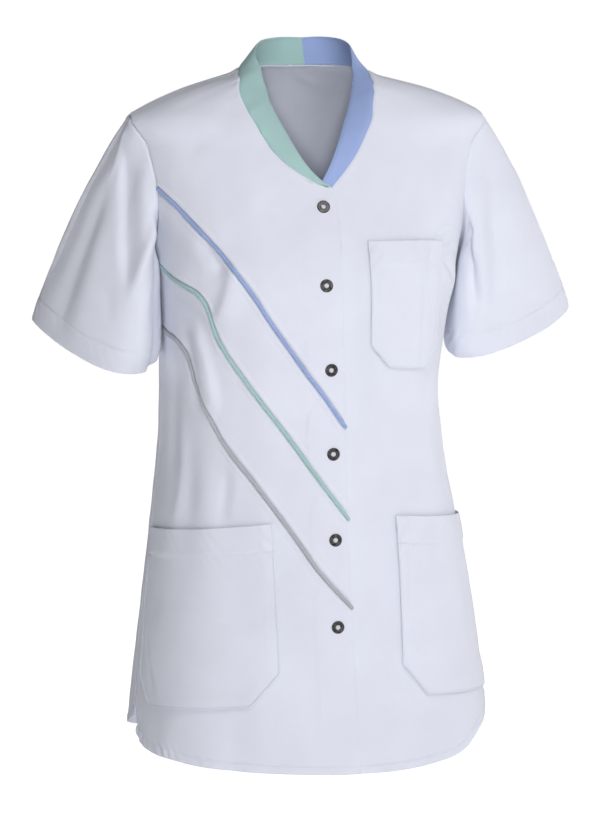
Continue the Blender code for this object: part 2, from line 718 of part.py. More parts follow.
def sleeve(name, row):
    """A sleeve from the armhole to its hem, as rings that widen and turn outwards."""
    side, cap_reach = row[0], row[-1]
    hem_outer, hem_front, hem_under, hem_back = (np.array(place) for place in row[1:-1])
    front = along(ARMHOLE_FRONT, ARMHOLE_ROWS)
    back = along(ARMHOLE_BACK, ARMHOLE_ROWS)[::-1]
    loop = np.r_[front, back[1:-1]]
    count = len(loop)
    turn = 2 * math.pi * np.arange(count) / count
    under = ease(1 - (1 + np.cos(turn)) / 2 / UNDERARM_SHARE)
    start = cloth(side * loop[:, 0], loop[:, 1], OVERLAP_LIFT * under)[0] * (side, 1, 1)
    reach = np.cos(turn)[:, None]
    forward = np.sin(turn)[:, None]
    middle = (hem_outer + hem_front + hem_under + hem_back) / 4
    half = (hem_outer - hem_under) / 2
    depth = (hem_front - hem_back) / 2
    corner = (hem_outer + hem_under - hem_front - hem_back) / 4
    end = middle + reach * half + forward * depth + np.cos(2 * turn)[:, None] * corner
    axis = np.cross(half, depth)
    axis *= -np.sign(axis[2]) / np.linalg.norm(axis)
    lift = (1 + reach) / 2
    first = lift * np.array((CAP_LIFT[0], 0, CAP_LIFT[1])) + (1 - lift) * np.array(
        (UNDERARM_RUN[0], 0, UNDERARM_RUN[1])
    )
    first = first + forward * np.array((0, -FORWARD_FLARE, 0))
    first /= np.linalg.norm(first, axis=1, keepdims=True)
    t = np.linspace(0, 1, SLEEVE_ROWS + 1)[:, None, None]
    length = cap_reach * (UNDERARM_REACH_SHARE + (1 - UNDERARM_REACH_SHARE) * lift)
    rings = (
        (2 * t**3 - 3 * t**2 + 1) * start
        + (t**3 - 2 * t**2 + t) * length * first
        + (3 * t**2 - 2 * t**3) * end
        + (t**3 - t**2) * HEM_REACH * axis
    )
    rings[0] += first * SLEEVE_GAP
    around = np.roll(rings, -1, 1) - np.roll(rings, 1, 1)
    down = np.gradient(rings, axis=0)
    out = np.cross(down, around)
    out /= np.linalg.norm(out, axis=-1, keepdims=True)
    if ((out[-1] * (rings[-1] - middle)).sum()) < 0:
        out = -out
    degrees = np.degrees(turn)[None, :]
    arc = SLEEVE_GIRTH / 360
    share = t[..., 0]
    folds = np.zeros(rings.shape[:2])
    for fold_side, round_1, along_1, round_2, along_2, width, height in SLEEVE_FOLDS:
        if fold_side != side:
            continue
        away, place = fold_distance(
            degrees * arc, share * SLEEVE_LENGTH,
            round_1 * arc, along_1 * SLEEVE_LENGTH, round_2 * arc, along_2 * SLEEVE_LENGTH,
        )
        folds += height * swell(place) * np.exp(-((away / width) ** 2))
    folds *= ease(share / SLEEVE_FOLD_START)
    outer = rings + out * folds[..., None]
    inner = outer - out * WALL
    flip = np.array((side, 1, 1))
    return wall(name, inner * flip, outer * flip, material(name, WHITE, 0.75), closed=True)


def neck_seam(front, first_row, back, side):
    """Inner-face points of the neck seam, from the closure over the shoulder to the back seam."""
    edge = -1 if side < 0 else 0
    points = list(front.inner[first_row:, edge])
    angles = list(abs(front.grid[first_row:, edge, 0]))
    neck = back.inner[-1, BACK_SHOULDER_COLUMNS : BACK_SHOULDER_COLUMNS + BACK_NECK_COLUMNS + 1]
    turns = back.grid[-1, BACK_SHOULDER_COLUMNS : BACK_SHOULDER_COLUMNS + BACK_NECK_COLUMNS + 1, 0]
    last = BAND_BACK_ANGLE
    if side < 0:
        neck, turns, last = neck[::-1], 360 - turns[::-1], 360 - BAND_BACK_ANGLE
    for k in range(1, len(turns)):
        if turns[k] < last - 1:
            points.append(neck[k])
            angles.append(turns[k])
    share = (last - turns[turns < last].max()) / (turns[1] - turns[0])
    before = np.searchsorted(turns, last) - 1
    points.append(neck[before] + (neck[before + 1] - neck[before]) * share)
    angles.append(last)
    steps = np.linspace(0, len(points) - 1, (len(points) - 1) * BAND_SPLIT + 1)
    places = np.arange(len(points))
    split = [np.interp(steps, places, np.array(points)[:, k]) for k in range(3)]
    return np.transpose(split), np.interp(steps, places, angles)


def neck_band(name, side, colour, seam, angles):
    """Half of the neck band, from the closure round to the seam behind the neck."""
    edge_name = "edge_x_right" if side < 0 else "edge_x_left"
    names = (edge_name, "edge_y", "edge_height", "out")
    values = np.transpose([column(BAND, BAND_COLUMNS_OF_TABLE, n) for n in names])
    behind = 90 + (angles - 90) * 90 / (angles[-1] - 90)
    places = np.where(angles > 90, behind, angles)
    places[0] = BAND[0][0]
    rows = smooth(column(BAND, BAND_COLUMNS_OF_TABLE, "angle"), values, places)
    edge = rows[:, :3]
    run = edge - seam
    along_seam = np.gradient(seam, axis=0)
    along_seam /= np.linalg.norm(along_seam, axis=1, keepdims=True)
    square = run - (run * along_seam).sum(1, keepdims=True) * along_seam
    start = seam + square / np.linalg.norm(square, axis=1, keepdims=True) * BAND_GAP
    across = np.linspace(0, 1, BAND_ROWS + 1)[:, None, None]
    grid = start[None] * (1 - across) + edge[None] * across
    around = np.gradient(grid, axis=1)
    around[:, -1] = (-side, 0, 0)
    normal = np.cross(around, np.broadcast_to(run, grid.shape))
    normal /= np.linalg.norm(normal, axis=-1, keepdims=True)
    if normal[-1, -1, 1] < 0:
        normal = -normal
    outer = grid + normal * rows[:, 3][None, :, None]
    inner = outer - normal * BAND_WALL
    for face in (outer, inner):
        for rim, beside, gap in ((0, 1, BAND_TRIM if side > 0 else SEAM), (-1, -2, SEAM)):
            inward = face[:, beside] - face[:, rim]
            face[:, rim] += inward / np.linalg.norm(inward, axis=-1, keepdims=True) * gap
    return wall(name, inner, outer, material(name, colour, 0.7))


def piping(name, lower, upper, colour, hidden=0):
    """A rounded strip on the seam between two pieces, made from their points moved out."""
    half = PIPING_WIDTH / 2
    strips = []
    for rim, beyond in ((lower.outer[-1], lower.outer[-2]), (upper.outer[0], upper.outer[1])):
        run = beyond - rim
        strips.append(rim + run / np.linalg.norm(run, axis=-1, keepdims=True) * half)
    seam = (lower.outer[-1] + upper.outer[0]) / 2
    normal = lower.normal[-1] + upper.normal[0]
    normal /= np.linalg.norm(normal, axis=-1, keepdims=True)
    base = np.stack([strips[0], seam, strips[1]])
    inner = base + normal[None] * PIPING_SEAT
    height = np.array((PIPING_SHOULDER, 1.0, PIPING_SHOULDER))[:, None, None] * PIPING_HEIGHT
    outer = inner + normal[None] * height
    for face in (inner, outer):
        face[:, hidden] += (face[:, hidden + 1] - face[:, hidden]) * PIPING_START
    return wall(name, inner[:, hidden:], outer[:, hidden:], material(name, colour, 0.6))


def pocket(row, panels):
    """A patch pocket over a panel, with its lower corners cut off and a little fullness."""
    name, top_inner, top_outer, low_inner, low_outer, chamfer, rise, across, down = row
    top_inner, top_outer, low_inner, low_outer = map(
        np.array, (top_inner, top_outer, low_inner, low_outer)
    )
    top = top_inner + (top_outer - top_inner) * np.linspace(0, 1, across + 1)[:, None]
    side_inner = top_inner + (low_inner - top_inner) * (1 - rise)
    side_outer = top_outer + (low_outer - top_outer) * (1 - rise)
    bottom_inner = low_inner + (low_outer - low_inner) * chamfer
    bottom_outer = low_outer + (low_inner - low_outer) * chamfer
    cut = POCKET_CHAMFER_CELLS
    knots = [0, cut, across - cut, across]
    corners = np.array([side_inner, bottom_inner, bottom_outer, side_outer])
    places = np.arange(across + 1)
    low = np.stack([np.interp(places, knots, corners[:, k]) for k in range(2)], -1)
    share = np.linspace(0, 1, down + 1)[:, None]
    inner_side = side_inner * (1 - share) + top_inner * share
    outer_side = side_outer * (1 - share) + top_outer * share
    grid = coons(low, top, inner_side, outer_side)
    points = np.empty((*grid.shape[:2], 3))
    normals = np.empty_like(points)
    for k in np.ndindex(grid.shape[:2]):
        found = [panel for panel in panels if holds(panel, *grid[k])]
        points[k], normals[k] = (found or panels[:1])[0].on_face(*grid[k])
    u = np.linspace(0, 1, across + 1)[None, :]
    v = np.linspace(0, 1, down + 1)[:, None]
    full = POCKET_FULLNESS * (4 * u * (1 - u)) ** 0.5 * ease(v / POCKET_FULL_FROM)
    lift = POCKET_GAP + full
    inner = points + normals * lift[..., None]
    outer = inner + normals * WALL
    return wall(name, inner, outer, material(name, WHITE, 0.75))


def holds(panel, angle, height):
    """Whether a place lies on a panel's grid."""
    _, weights = panel.locate(angle, height)
    return weights.min() >= -1e-6


def ring(name, centre, normal, radius, hole, height, steps, colour):
    """A turned metal ring that lies on the cloth, its upper side rounded."""
    profile = [(hole + (radius - hole) * out, height * up) for out, up in RING_PROFILE]
    right = np.cross((0, 0, 1), normal)
    right /= np.linalg.norm(right)
    front = np.cross(normal, right)
    points = []
    for k in range(steps):
        turn = 2 * math.pi * k / steps
        spoke = math.cos(turn) * right + math.sin(turn) * front
        points += [centre + spoke * r + normal * h for r, h in profile]
    size = len(profile)
    faces = []
    for k in range(steps):
        here, there = k * size, (k + 1) % steps * size
        for j in range(size):
            after = (j + 1) % size
            faces += two_triangles(here + j, here + after, there + after, there + j)
    return mesh_object(name, points, faces, material(name, colour, 0.35, 1.0))


def snaps(right_panels, left):
    """Ring snaps on the right front, each with its ring on the left front's inner side."""
    for number, (height, distance) in enumerate(SNAPS, 1):
        angle = float(angle_at(np.array([distance]), np.array([height]))[0])
        panel = next(p for p in right_panels if holds(p, angle, height))
        point, normal = panel.on_face(angle, height)
        ring(f"snap_{number}", point + normal * SNAP_GAP, normal, SNAP_RADIUS, SNAP_HOLE,
             SNAP_HEIGHT, SNAP_STEPS, DARK_METAL)
        point, normal = left.on_face(angle, height)
        under = point - normal * (WALL + SNAP_GAP)
        ring(f"snap_back_{number}", under, -normal, SNAP_BACK_RADIUS, SNAP_HOLE,
             SNAP_BACK_HEIGHT, SNAP_BACK_STEPS, DARK_METAL)


def main():
    for old in list(bpy.data.objects):
        bpy.data.objects.remove(old)
    rights = right_front_panels()
    left = left_front_panel()
    back = back_panel()
    for panel in (*rights, left, back):
        panel.build()
    sleeve("sleeve_right", SLEEVES[0])
    sleeve("sleeve_left", SLEEVES[1])
    neck_band("band_right", -1, MINT, *neck_seam(rights[0], FRONT_EDGE_ROWS, back, -1))
    neck_band("band_left", 1, BLUE, *neck_seam(left, SIDE_ROWS_LOW + SIDE_ROWS_HIGH + 1, back, 1))
    piping("piping_blue", rights[1], rights[0], BLUE)
    piping("piping_mint", rights[2], rights[1], MINT, hidden=1)
    piping("piping_grey", rights[3], rights[2], GREY)
    pocket(POCKETS[0], [left])
    pocket(POCKETS[1], [rights[3], rights[2]])
    pocket(POCKETS[2], [left])
    snaps(rights, left)


main()
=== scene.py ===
"""The looks of the work tunic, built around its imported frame.

Every cut piece of cloth is a thin shell on the form of its solid: the same level sections and cut
lines, with finer folds, turned hems, grooved seams and stitches. Metres, +Z up, the front faces -Y
and the wearer's left is +X.
"""

import math

import bpy
import numpy as np
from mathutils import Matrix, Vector


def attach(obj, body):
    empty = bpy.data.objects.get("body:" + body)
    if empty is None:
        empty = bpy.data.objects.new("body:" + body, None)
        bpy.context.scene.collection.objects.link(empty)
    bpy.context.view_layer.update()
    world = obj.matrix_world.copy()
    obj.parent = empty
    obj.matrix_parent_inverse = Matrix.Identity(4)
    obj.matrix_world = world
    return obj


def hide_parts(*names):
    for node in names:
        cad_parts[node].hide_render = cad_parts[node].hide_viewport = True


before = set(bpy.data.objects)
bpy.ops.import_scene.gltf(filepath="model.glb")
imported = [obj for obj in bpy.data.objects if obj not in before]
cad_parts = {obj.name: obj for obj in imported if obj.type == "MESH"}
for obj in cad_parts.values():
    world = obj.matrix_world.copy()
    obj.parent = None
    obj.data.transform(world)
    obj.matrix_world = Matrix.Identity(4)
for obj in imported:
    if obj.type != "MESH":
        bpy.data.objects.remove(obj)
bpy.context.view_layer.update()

# Cloth: how far its outer face stands over the figure, its thickness, and a turned edge's
WALL = 0.0012
PROUD = 0.0011
CLOTH = 0.0007
TURNED = 0.0008
# The right front rises onto the left one: how far, and between which angles
OVERLAP_LIFT = WALL + 0.0010
LIFT_START = -32.0
LIFT_END = -20.0
# The left front goes on under the right one
UNDERLAP = 0.019
UNDERLAP_HEM = -0.7195
UNDERLAP_DROP = 0.004
# The shoulders sink beside the neck: how far, over what height, and where round the figure
NECK_DIP = 0.0045
NECK_DIP_REACH = 0.0085
NECK_DIP_ANGLE = 84
NECK_DIP_SPREAD = 30
# Sizes of the grids' cells, and how many points the cut lines have
CELL = 0.0030
FRONT_CELL = 0.0025
BACK_CELL = 0.0033
LINE_POINTS = 120
SIDE_POINTS = 160
CLOSURE_POINTS = 60
BAND_FRONT_POINTS = 110
BAND_BACK_POINTS = 56
# Fine steps from a piece's edge, and about a stitched groove
EDGE_STEPS = (0.0004, 0.0009, 0.0016, 0.0023, 0.0027, 0.0032)
GROOVE_STEPS = (-0.0022, -0.0012, -0.0006, 0.0, 0.0006, 0.0012, 0.0024)

# How an edge is finished: its dip into the seam and the dip's reach, the width of what is turned
# under it and how far that raises the cloth, the stitched groove, the puckers and the extra layers
EDGES = {
    "seam": (0.0009, 0.0014, 0.0080, 0.0002, 0.0, 0.0, 0.0),
    "piped": (0.0020, 0.0023, 0.0068, 0.0005, 0.0, 0.0002, 0.0),
    "hem": (0.0, 0.001, 0.0090, 0.0005, 0.0007, 0.0009, TURNED),
    "vent": (0.0, 0.001, 0.0095, 0.0003, 0.0004, 0.0001, TURNED),
    "front": (0.0, 0.001, 0.0400, 0.0006, 0.0, 0.0, TURNED),
    "neck": (0.0008, 0.0012, 0.0060, 0.0002, 0.0, 0.0006, 0.0),
    "cuff": (0.0, 0.001, 0.0245, 0.0004, 0.0008, 0.0006, TURNED),
    "armhole": (0.0, 0.001, 0.0075, 0.0003, 0.0, 0.0002, TURNED),
    "cap": (0.0007, 0.0020, 0.0060, 0.0003, 0.0, 0.0002, 0.0),
    "pocket_top": (0.0, 0.001, 0.0285, 0.0003, 0.0010, 0.0004, TURNED),
    "pocket_edge": (0.0, 0.001, 0.0018, 0.0001, 0.0005, 0.0, TURNED),
}
SLEEVE_STEPS = 66
SLEEVE_CELL = 0.0029
# The sleeve's start sinks at the armhole, less at the underarm, and is tucked under its edge; its
# fine unevenness begins over the last of these, a share of its length
CAP_DROP = 0.0016
CAP_DROP_LOSS = 0.75
CAP_TUCK = 0.0015
CAP_TUCK_IN = 0.0010
RIPPLE_START = 0.05
POCKET_CHAMFER_SHARE = 1 / 6
BAND_STITCH = 0.0016
GROOVE_REACH = 0.0007
SLOT_RUN = 0.0009
PUCKER_LENGTH = 0.0125
PUCKER_SLANT = 0.7
# Puckers sway along the edge, each sway with a size, a length and a phase, and vary in strength
PUCKER_SWAYS = ((1.1, 0.071, 0.0), (0.7, 0.043, 2.0))
PUCKER_SWING = 0.35
PUCKER_SWING_LENGTH = 0.057
PUCKER_MIDDLE = 0.6
PUCKER_REACH = 0.75
# Over what width a turned layer ends, and over what height one finish changes into another
TURN_EDGE = 0.0012
KIND_CHANGE = 0.006
# Puckers are weaker at the front: their strength there, and where and over how many degrees it grows
FRONT_GATHER = 0.22
GATHER_FROM = 24
GATHER_OVER = 40

# Stitches
STITCH_STEP = 0.0030
STITCH_LENGTH = 0.0022
STITCH_RADIUS = 0.00024

# Snaps: how far each stands off the cloth, and how the cloth is pressed in round it
SNAP_SEAT = 0.0004
SNAP_DIMPLE = 0.0006
SNAP_DIMPLE_REACH = 0.0095

# Piping
PIPING_WIDTH = 0.0038
PIPING_HEIGHT = 0.0023
# How far its sides sink under the cloth's face, and how deep and wide its underside is
PIPING_SINK = 0.0005
PIPING_UNDER = 0.0008
PIPING_UNDER_SHARE = 0.9
# The mint one starts this many points along its seam, clear of the armhole
MINT_START = 2
# The end of each turns down over the front edge: in how many steps, how far on and down, and how
# far its face leans
TAIL_STEPS = 5
TAIL_RUN = 0.0016
TAIL_DROP = 0.0022
TAIL_LEAN = 1.3

# Neck band
BAND_BACK_ANGLE = 168.0
BAND_WALL = 0.0016
BAND_CELL = 0.0026
# How far it stands over the neck seam, its fullness between the edges, the dents of its two
# stitched lines, the ripple along its seam, and its dips at the seam and at the back
BAND_LIFT = 0.0004
BAND_PUFF = 0.0005
BAND_PUFF_FROM = 0.004
BAND_DENT = 0.0002
BAND_RIPPLE = 0.00025
BAND_RIPPLE_LENGTH = 0.019
BAND_RIPPLE_SWAY = 0.031
BAND_RIPPLE_REACH = 0.010
BAND_SEAM_DIP = 0.0004
BAND_END_DIP = 0.0003
BAND_DIP_REACH = 0.0012
# The left half's front end is pulled back: how far, towards which column of its grid
BAND_TUCK = 0.7
BAND_TUCK_AT = 3
# The band's places follow the neck seam's angle from here on
BAND_EVEN_TO = 8.8

# The roll over the seam inside the back of the neck
ROLL_ENDS = (78, 282)
ROLL_INSET = 0.0034
ROLL_HALF_WIDTH = 0.0014
ROLL_HALF_HEIGHT = 0.0009
ROLL_SIDES = 10

# Sections of a snap's ring and back ring and of the cloth in its hole: radius and height
SNAP_SECTION = (
    (0.00255, 0.0000), (0.00660, 0.0000), (0.00672, 0.0004), (0.00655, 0.0009), (0.00610, 0.00128),
    (0.00550, 0.00142), (0.00490, 0.00140), (0.00440, 0.00128), (0.00400, 0.00124),
    (0.00360, 0.00132), (0.00320, 0.00140), (0.00285, 0.00130), (0.00262, 0.00098),
    (0.00250, 0.0005),
)
SNAP_WAVE = (0, 0, 0, 0, 0, 0.00002, 0.00003, 0.00004, 0.00003, 0, 0, 0, 0, 0)
SNAP_PRONGS = 5
SNAP_BACK_SECTION = (
    (0.00230, 0.0), (0.00540, 0.0), (0.00545, 0.0003), (0.00520, 0.00065), (0.00460, 0.00085),
    (0.00390, 0.00070), (0.00330, 0.00085), (0.00270, 0.00070), (0.00232, 0.0004),
)
SNAP_DOME = (
    (0.0, -0.0002), (0.00245, -0.0002), (0.00242, 0.0006), (0.0021, 0.0012), (0.0014, 0.00145),
    (0.0, 0.00150),
)

# Creases of the neck band: along and across it, in metres from its front end and its seam
BAND_CREASES = {
    "band_right": (
        ((0.108, 0.004), (0.120, 0.022), 0.004, -0.0006),
        ((0.118, 0.003), (0.134, 0.018), 0.004, 0.0005),
        ((0.030, 0.005), (0.052, 0.015), 0.006, -0.0004),
        ((0.160, 0.004), (0.170, 0.020), 0.005, -0.0005),
    ),
    "band_left": (
        ((0.100, 0.004), (0.112, 0.020), 0.004, -0.0005),
        ((0.040, 0.005), (0.062, 0.015), 0.006, -0.0004),
        ((0.145, 0.004), (0.155, 0.020), 0.005, 0.0005),
    ),
}

# Camera and studio
CAMERA_TURN = -12.0
CAMERA_RISE = 8.0
CAMERA_DISTANCE = 3.5
CAMERA_TARGET = (-0.0032, 0.0, -0.3656)
LENS = 143.7
SENSOR_WIDTH = 36
FLOOR = -1.15
FLOOR_SIDES = 64
FLOOR_RINGS = (1.0, 2.0, 4.0, 8.0, 20.0, 60.0, 200.0)
# The floor glows more behind the garment: from and to these depths, from and to these strengths
FLOOR_GLOW = (0.3, 1.3, 0.34, 1.0)
SURROUND = 0.03
LAMP_CENTRE = (0.0, 0.0, -0.38)
# Soft lamps: where each stands, as degrees round from the front and up, its distance, the size
# of its square face, and its power
LAMPS = (
    ("close", -12.0, 6.0, 3.4, 0.35, 30.0),
    ("front", -12.0, 5.0, 3.4, 1.2, 6.0),
    ("key", 10.0, 15.0, 3.4, 1.2, 6.0),
    ("key_high", 20.0, 42.0, 3.2, 1.2, 20.0),
    ("right", 58.0, 10.0, 3.4, 1.2, 6.0),
    ("side", 85.0, 10.0, 3.2, 1.0, 12.5),
    ("high", 0.0, 60.0, 3.2, 1.4, 21.5),
    ("right_back", 110.0, 15.0, 3.0, 1.0, 15.0),
)

# The general figure: level sections, front middle at angle 0, the wearer's left side at 90
SECTION_COLUMNS = ("height", "half_width", "front_depth", "back_depth", "squareness", "sway")
SECTIONS = (
    (0.000, 0.070, 0.044, 0.062, 0.000, 0.000),
    (-0.008, 0.083, 0.048, 0.067, 0.000, -0.002),
    (-0.024, 0.133, 0.057, 0.077, 0.005, 0.002),
    (-0.039, 0.169, 0.064, 0.085, 0.010, 0.004),
    (-0.048, 0.185, 0.069, 0.089, 0.012, 0.004),
    (-0.080, 0.182, 0.084, 0.101, 0.020, 0.001),
    (-0.130, 0.173, 0.106, 0.112, 0.030, 0.000),
    (-0.180, 0.163, 0.124, 0.117, 0.038, 0.000),
    (-0.228, 0.154, 0.134, 0.117, 0.045, -0.001),
    (-0.280, 0.148, 0.137, 0.113, 0.048, -0.004),
    (-0.335, 0.145, 0.135, 0.110, 0.045, -0.006),
    (-0.400, 0.150, 0.134, 0.114, 0.040, -0.004),
    (-0.465, 0.160, 0.137, 0.122, 0.036, -0.001),
    (-0.560, 0.174, 0.143, 0.132, 0.032, 0.002),
    (-0.655, 0.187, 0.148, 0.140, 0.030, 0.004),
    (-0.760, 0.198, 0.153, 0.146, 0.030, 0.005),
)

# Cut lines, as an angle round the figure and a height; those of the sides are mirrored
ARMHOLE_FRONT = (
    (90.0, -0.048), (79.0, -0.053), (71.0, -0.064), (67.0, -0.084),
    (65.0, -0.108), (66.0, -0.130), (70.0, -0.152), (76.0, -0.172),
    (83.0, -0.187), (90.0, -0.196),
)
ARMHOLE_BACK = (
    (90.0, -0.048), (98.0, -0.053), (104.0, -0.064), (109.0, -0.084),
    (112.0, -0.108), (112.0, -0.130), (109.0, -0.152), (104.0, -0.172),
    (97.0, -0.187), (90.0, -0.196),
)
NECKLINE_RIGHT = (
    (-2.0, -0.1200), (1.8, -0.1156), (4.8, -0.1103), (8.8, -0.1017),
    (12.5, -0.0912), (15.5, -0.0799), (17.7, -0.0673), (20.0, -0.0546),
    (24.7, -0.0416), (33.7, -0.0264), (48.8, -0.0127), (71.0, -0.0045),
    (90.0, 0.0),
)
NECKLINE_LEFT = (
    (2.0, -0.1200), (4.2, -0.1124), (8.1, -0.0979), (12.2, -0.0786),
    (14.6, -0.0590), (18.8, -0.0388), (29.1, -0.0222), (42.8, -0.0136),
    (60.0, -0.0058), (90.0, 0.0),
)
HEM_RIGHT = (
    (-10.0, -0.7215), (0.0, -0.7212), (10.0, -0.7195), (28.0, -0.7165),
    (44.0, -0.7135), (56.0, -0.7105), (67.0, -0.7085), (75.0, -0.7040),
    (80.0, -0.6960),
)
HEM_LEFT = (
    (-10.0, -0.7205), (0.0, -0.7212), (17.0, -0.7218), (30.0, -0.7185),
    (41.6, -0.7130), (50.0, -0.7030), (60.5, -0.6925), (74.0, -0.6810),
    (80.0, -0.6740),
)
HEM_BACK = (
    (84.0, -0.6800), (95.0, -0.6930), (110.0, -0.7050), (130.0, -0.7180),
    (155.0, -0.7260), (180.0, -0.7290),
)
VENT_TOP = -0.600
SIDE_SEAM_LOW = -0.690
FRONT_REACH = 40.0

# Front edge and snap line: distance to the wearer's left of the middle, by height
FRONT_EDGE = (
    (-0.120, 0.0085), (-0.140, 0.0118), (-0.162, 0.0132), (-0.217, 0.0126),
    (-0.302, 0.0134), (-0.389, 0.0156), (-0.478, 0.0182), (-0.568, 0.0209),
    (-0.625, 0.0240), (-0.722, 0.0285),
)
SNAPS = (
    (-0.1389, -0.0026), (-0.2167, -0.0043), (-0.3020, -0.0003), (-0.3890, 0.0025),
    (-0.4777, 0.0040), (-0.5676, 0.0055),
)

# Slanting seams of the wearer's right front, from the side to the front edge
SEAM_BLUE = (
    (-65.4, -0.1210), (-55.0, -0.1388), (-47.2, -0.1568), (-36.2, -0.1873),
    (-26.2, -0.2244), (-20.0, -0.2512), (-13.6, -0.2768), (-7.3, -0.3026),
    (-1.0, -0.3271), (6.6, -0.3605),
)
SEAM_MINT = (
    (-90.0, -0.1960), (-79.0, -0.2010), (-68.4, -0.2095), (-58.0, -0.2185),
    (-51.6, -0.2247), (-47.9, -0.2331), (-45.4, -0.2456), (-42.0, -0.2670),
    (-37.8, -0.2830), (-31.5, -0.3045), (-25.0, -0.3263), (-16.3, -0.3576),
    (-4.5, -0.4081), (5.9, -0.4557),
)
SEAM_GREY = (
    (-90.0, -0.2660), (-78.2, -0.2712), (-66.8, -0.2772), (-61.0, -0.2868),
    (-57.2, -0.3007), (-54.6, -0.3187), (-51.1, -0.3328), (-45.8, -0.3522),
    (-39.4, -0.3753), (-26.5, -0.4148), (-14.1, -0.4625), (-3.0, -0.5148),
    (5.4, -0.5475),
)

# Largest folds: a line from one angle and height to another, how far it reaches to each side,
# and how far out (+) or in (-) the cloth stands there
BODY_FOLDS = (
    (-66.0, -0.232, -47.0, -0.262, 0.013, -0.0030),
    (-74.0, -0.205, -50.0, -0.215, 0.014, 0.0035),
    (-60.0, -0.285, -46.0, -0.330, 0.015, 0.0030),
    (-58.0, -0.375, -55.0, -0.500, 0.017, -0.0035),
    (-36.0, -0.400, -34.0, -0.520, 0.020, -0.0025),
    (52.0, -0.200, 72.0, -0.235, 0.013, 0.0035),
    (48.0, -0.235, 66.0, -0.290, 0.014, -0.0030),
    (24.0, -0.330, 20.0, -0.450, 0.020, -0.0030),
    (46.0, -0.345, 44.0, -0.440, 0.018, 0.0025),
    (125.0, -0.240, 150.0, -0.300, 0.018, -0.0035),
    (-125.0, -0.240, -150.0, -0.310, 0.018, -0.0035),
    (140.0, -0.340, 146.0, -0.520, 0.020, 0.0035),
    (-142.0, -0.340, -148.0, -0.540, 0.020, 0.0035),
    (176.0, -0.330, 178.0, -0.500, 0.022, -0.0030),
)
FOLD_RADIUS = 0.145
ARC = math.radians(1) * FOLD_RADIUS
FLAT_SCALE = (ARC, 1.0)
FOLD_END_SHARE = 0.35
# The share of its line over which a crease grows from each end, and how far on it starts
CREASE_FADE = 0.35
CREASE_END = 0.15

# Neck band: where each ruling leaves the neck seam and where its upper edge lies
BAND_COLUMNS = ("angle", "edge_x_right", "edge_x_left", "edge_y", "edge_height", "out")
BAND = (
    (2.0, -0.0028, -0.0019, -0.1010, -0.1130, 0.0015),
    (8.0, -0.0175, 0.0090, -0.0935, -0.0945, 0.0014),
    (15.3, -0.0304, 0.0220, -0.0765, -0.0700, 0.0012),
    (19.5, -0.0416, 0.0345, -0.0560, -0.0444, 0.0012),
    (30.0, -0.0455, 0.0443, -0.0340, -0.0216, 0.0006),
    (58.0, -0.0482, 0.0490, -0.0150, 0.0005, 0.0000),
    (90.0, -0.0510, 0.0525, 0.0020, 0.0150, 0.0000),
    (115.0, -0.0450, 0.0540, 0.0210, 0.0235, 0.0000),
    (140.0, -0.0310, 0.0480, 0.0460, 0.0285, 0.0000),
    (160.0, -0.0100, 0.0330, 0.0625, 0.0298, 0.0000),
    (180.0, 0.0125, 0.0125, 0.0665, 0.0290, 0.0000),
)

# Sleeves: the side, the hem's outer, front, under and back places, and how far the sleeve keeps
# the cap's direction
SLEEVES = (
    (-1, (0.2804, 0.0473, -0.2647), (0.2143, -0.0562, -0.3074), (0.1592, 0.0130, -0.2944),
     (0.2179, 0.0738, -0.2827), 0.085),
    (1, (0.2940, 0.0115, -0.2587), (0.1982, -0.0504, -0.2994), (0.1572, 0.0077, -0.2972),
     (0.2171, 0.0525, -0.2706), 0.105),
)
HEM_REACH = 0.150
CAP_LIFT = (0.78, -0.62)
UNDERARM_RUN = (0.45, -0.89)
FORWARD_FLARE = 0.22
UNDERARM_REACH_SHARE = 0.6
UNDERARM_SHARE = 0.625

# Sleeve folds: the side, where each starts and ends, as degrees round the sleeve from its top over
# the front and a share along it, how far it reaches, and how far out it stands
SLEEVE_FOLDS = (
    (-1, 128.0, 0.08, 104.0, 0.56, 0.010, -0.0060),
    (-1, 150.0, 0.10, 134.0, 0.60, 0.012, 0.0045),
    (-1, 40.0, 0.12, 46.0, 0.85, 0.018, -0.0035),
    (-1, 250.0, 0.15, 262.0, 0.75, 0.018, -0.0040),
    (1, 126.0, 0.15, 108.0, 0.60, 0.011, -0.0050),
    (1, 148.0, 0.10, 138.0, 0.70, 0.012, 0.0040),
    (1, 52.0, 0.20, 60.0, 0.85, 0.018, -0.0030),
    (1, 246.0, 0.15, 256.0, 0.75, 0.018, -0.0040),
)
SLEEVE_GIRTH = 0.40
SLEEVE_LENGTH = 0.19
SLEEVE_FOLD_START = 0.12

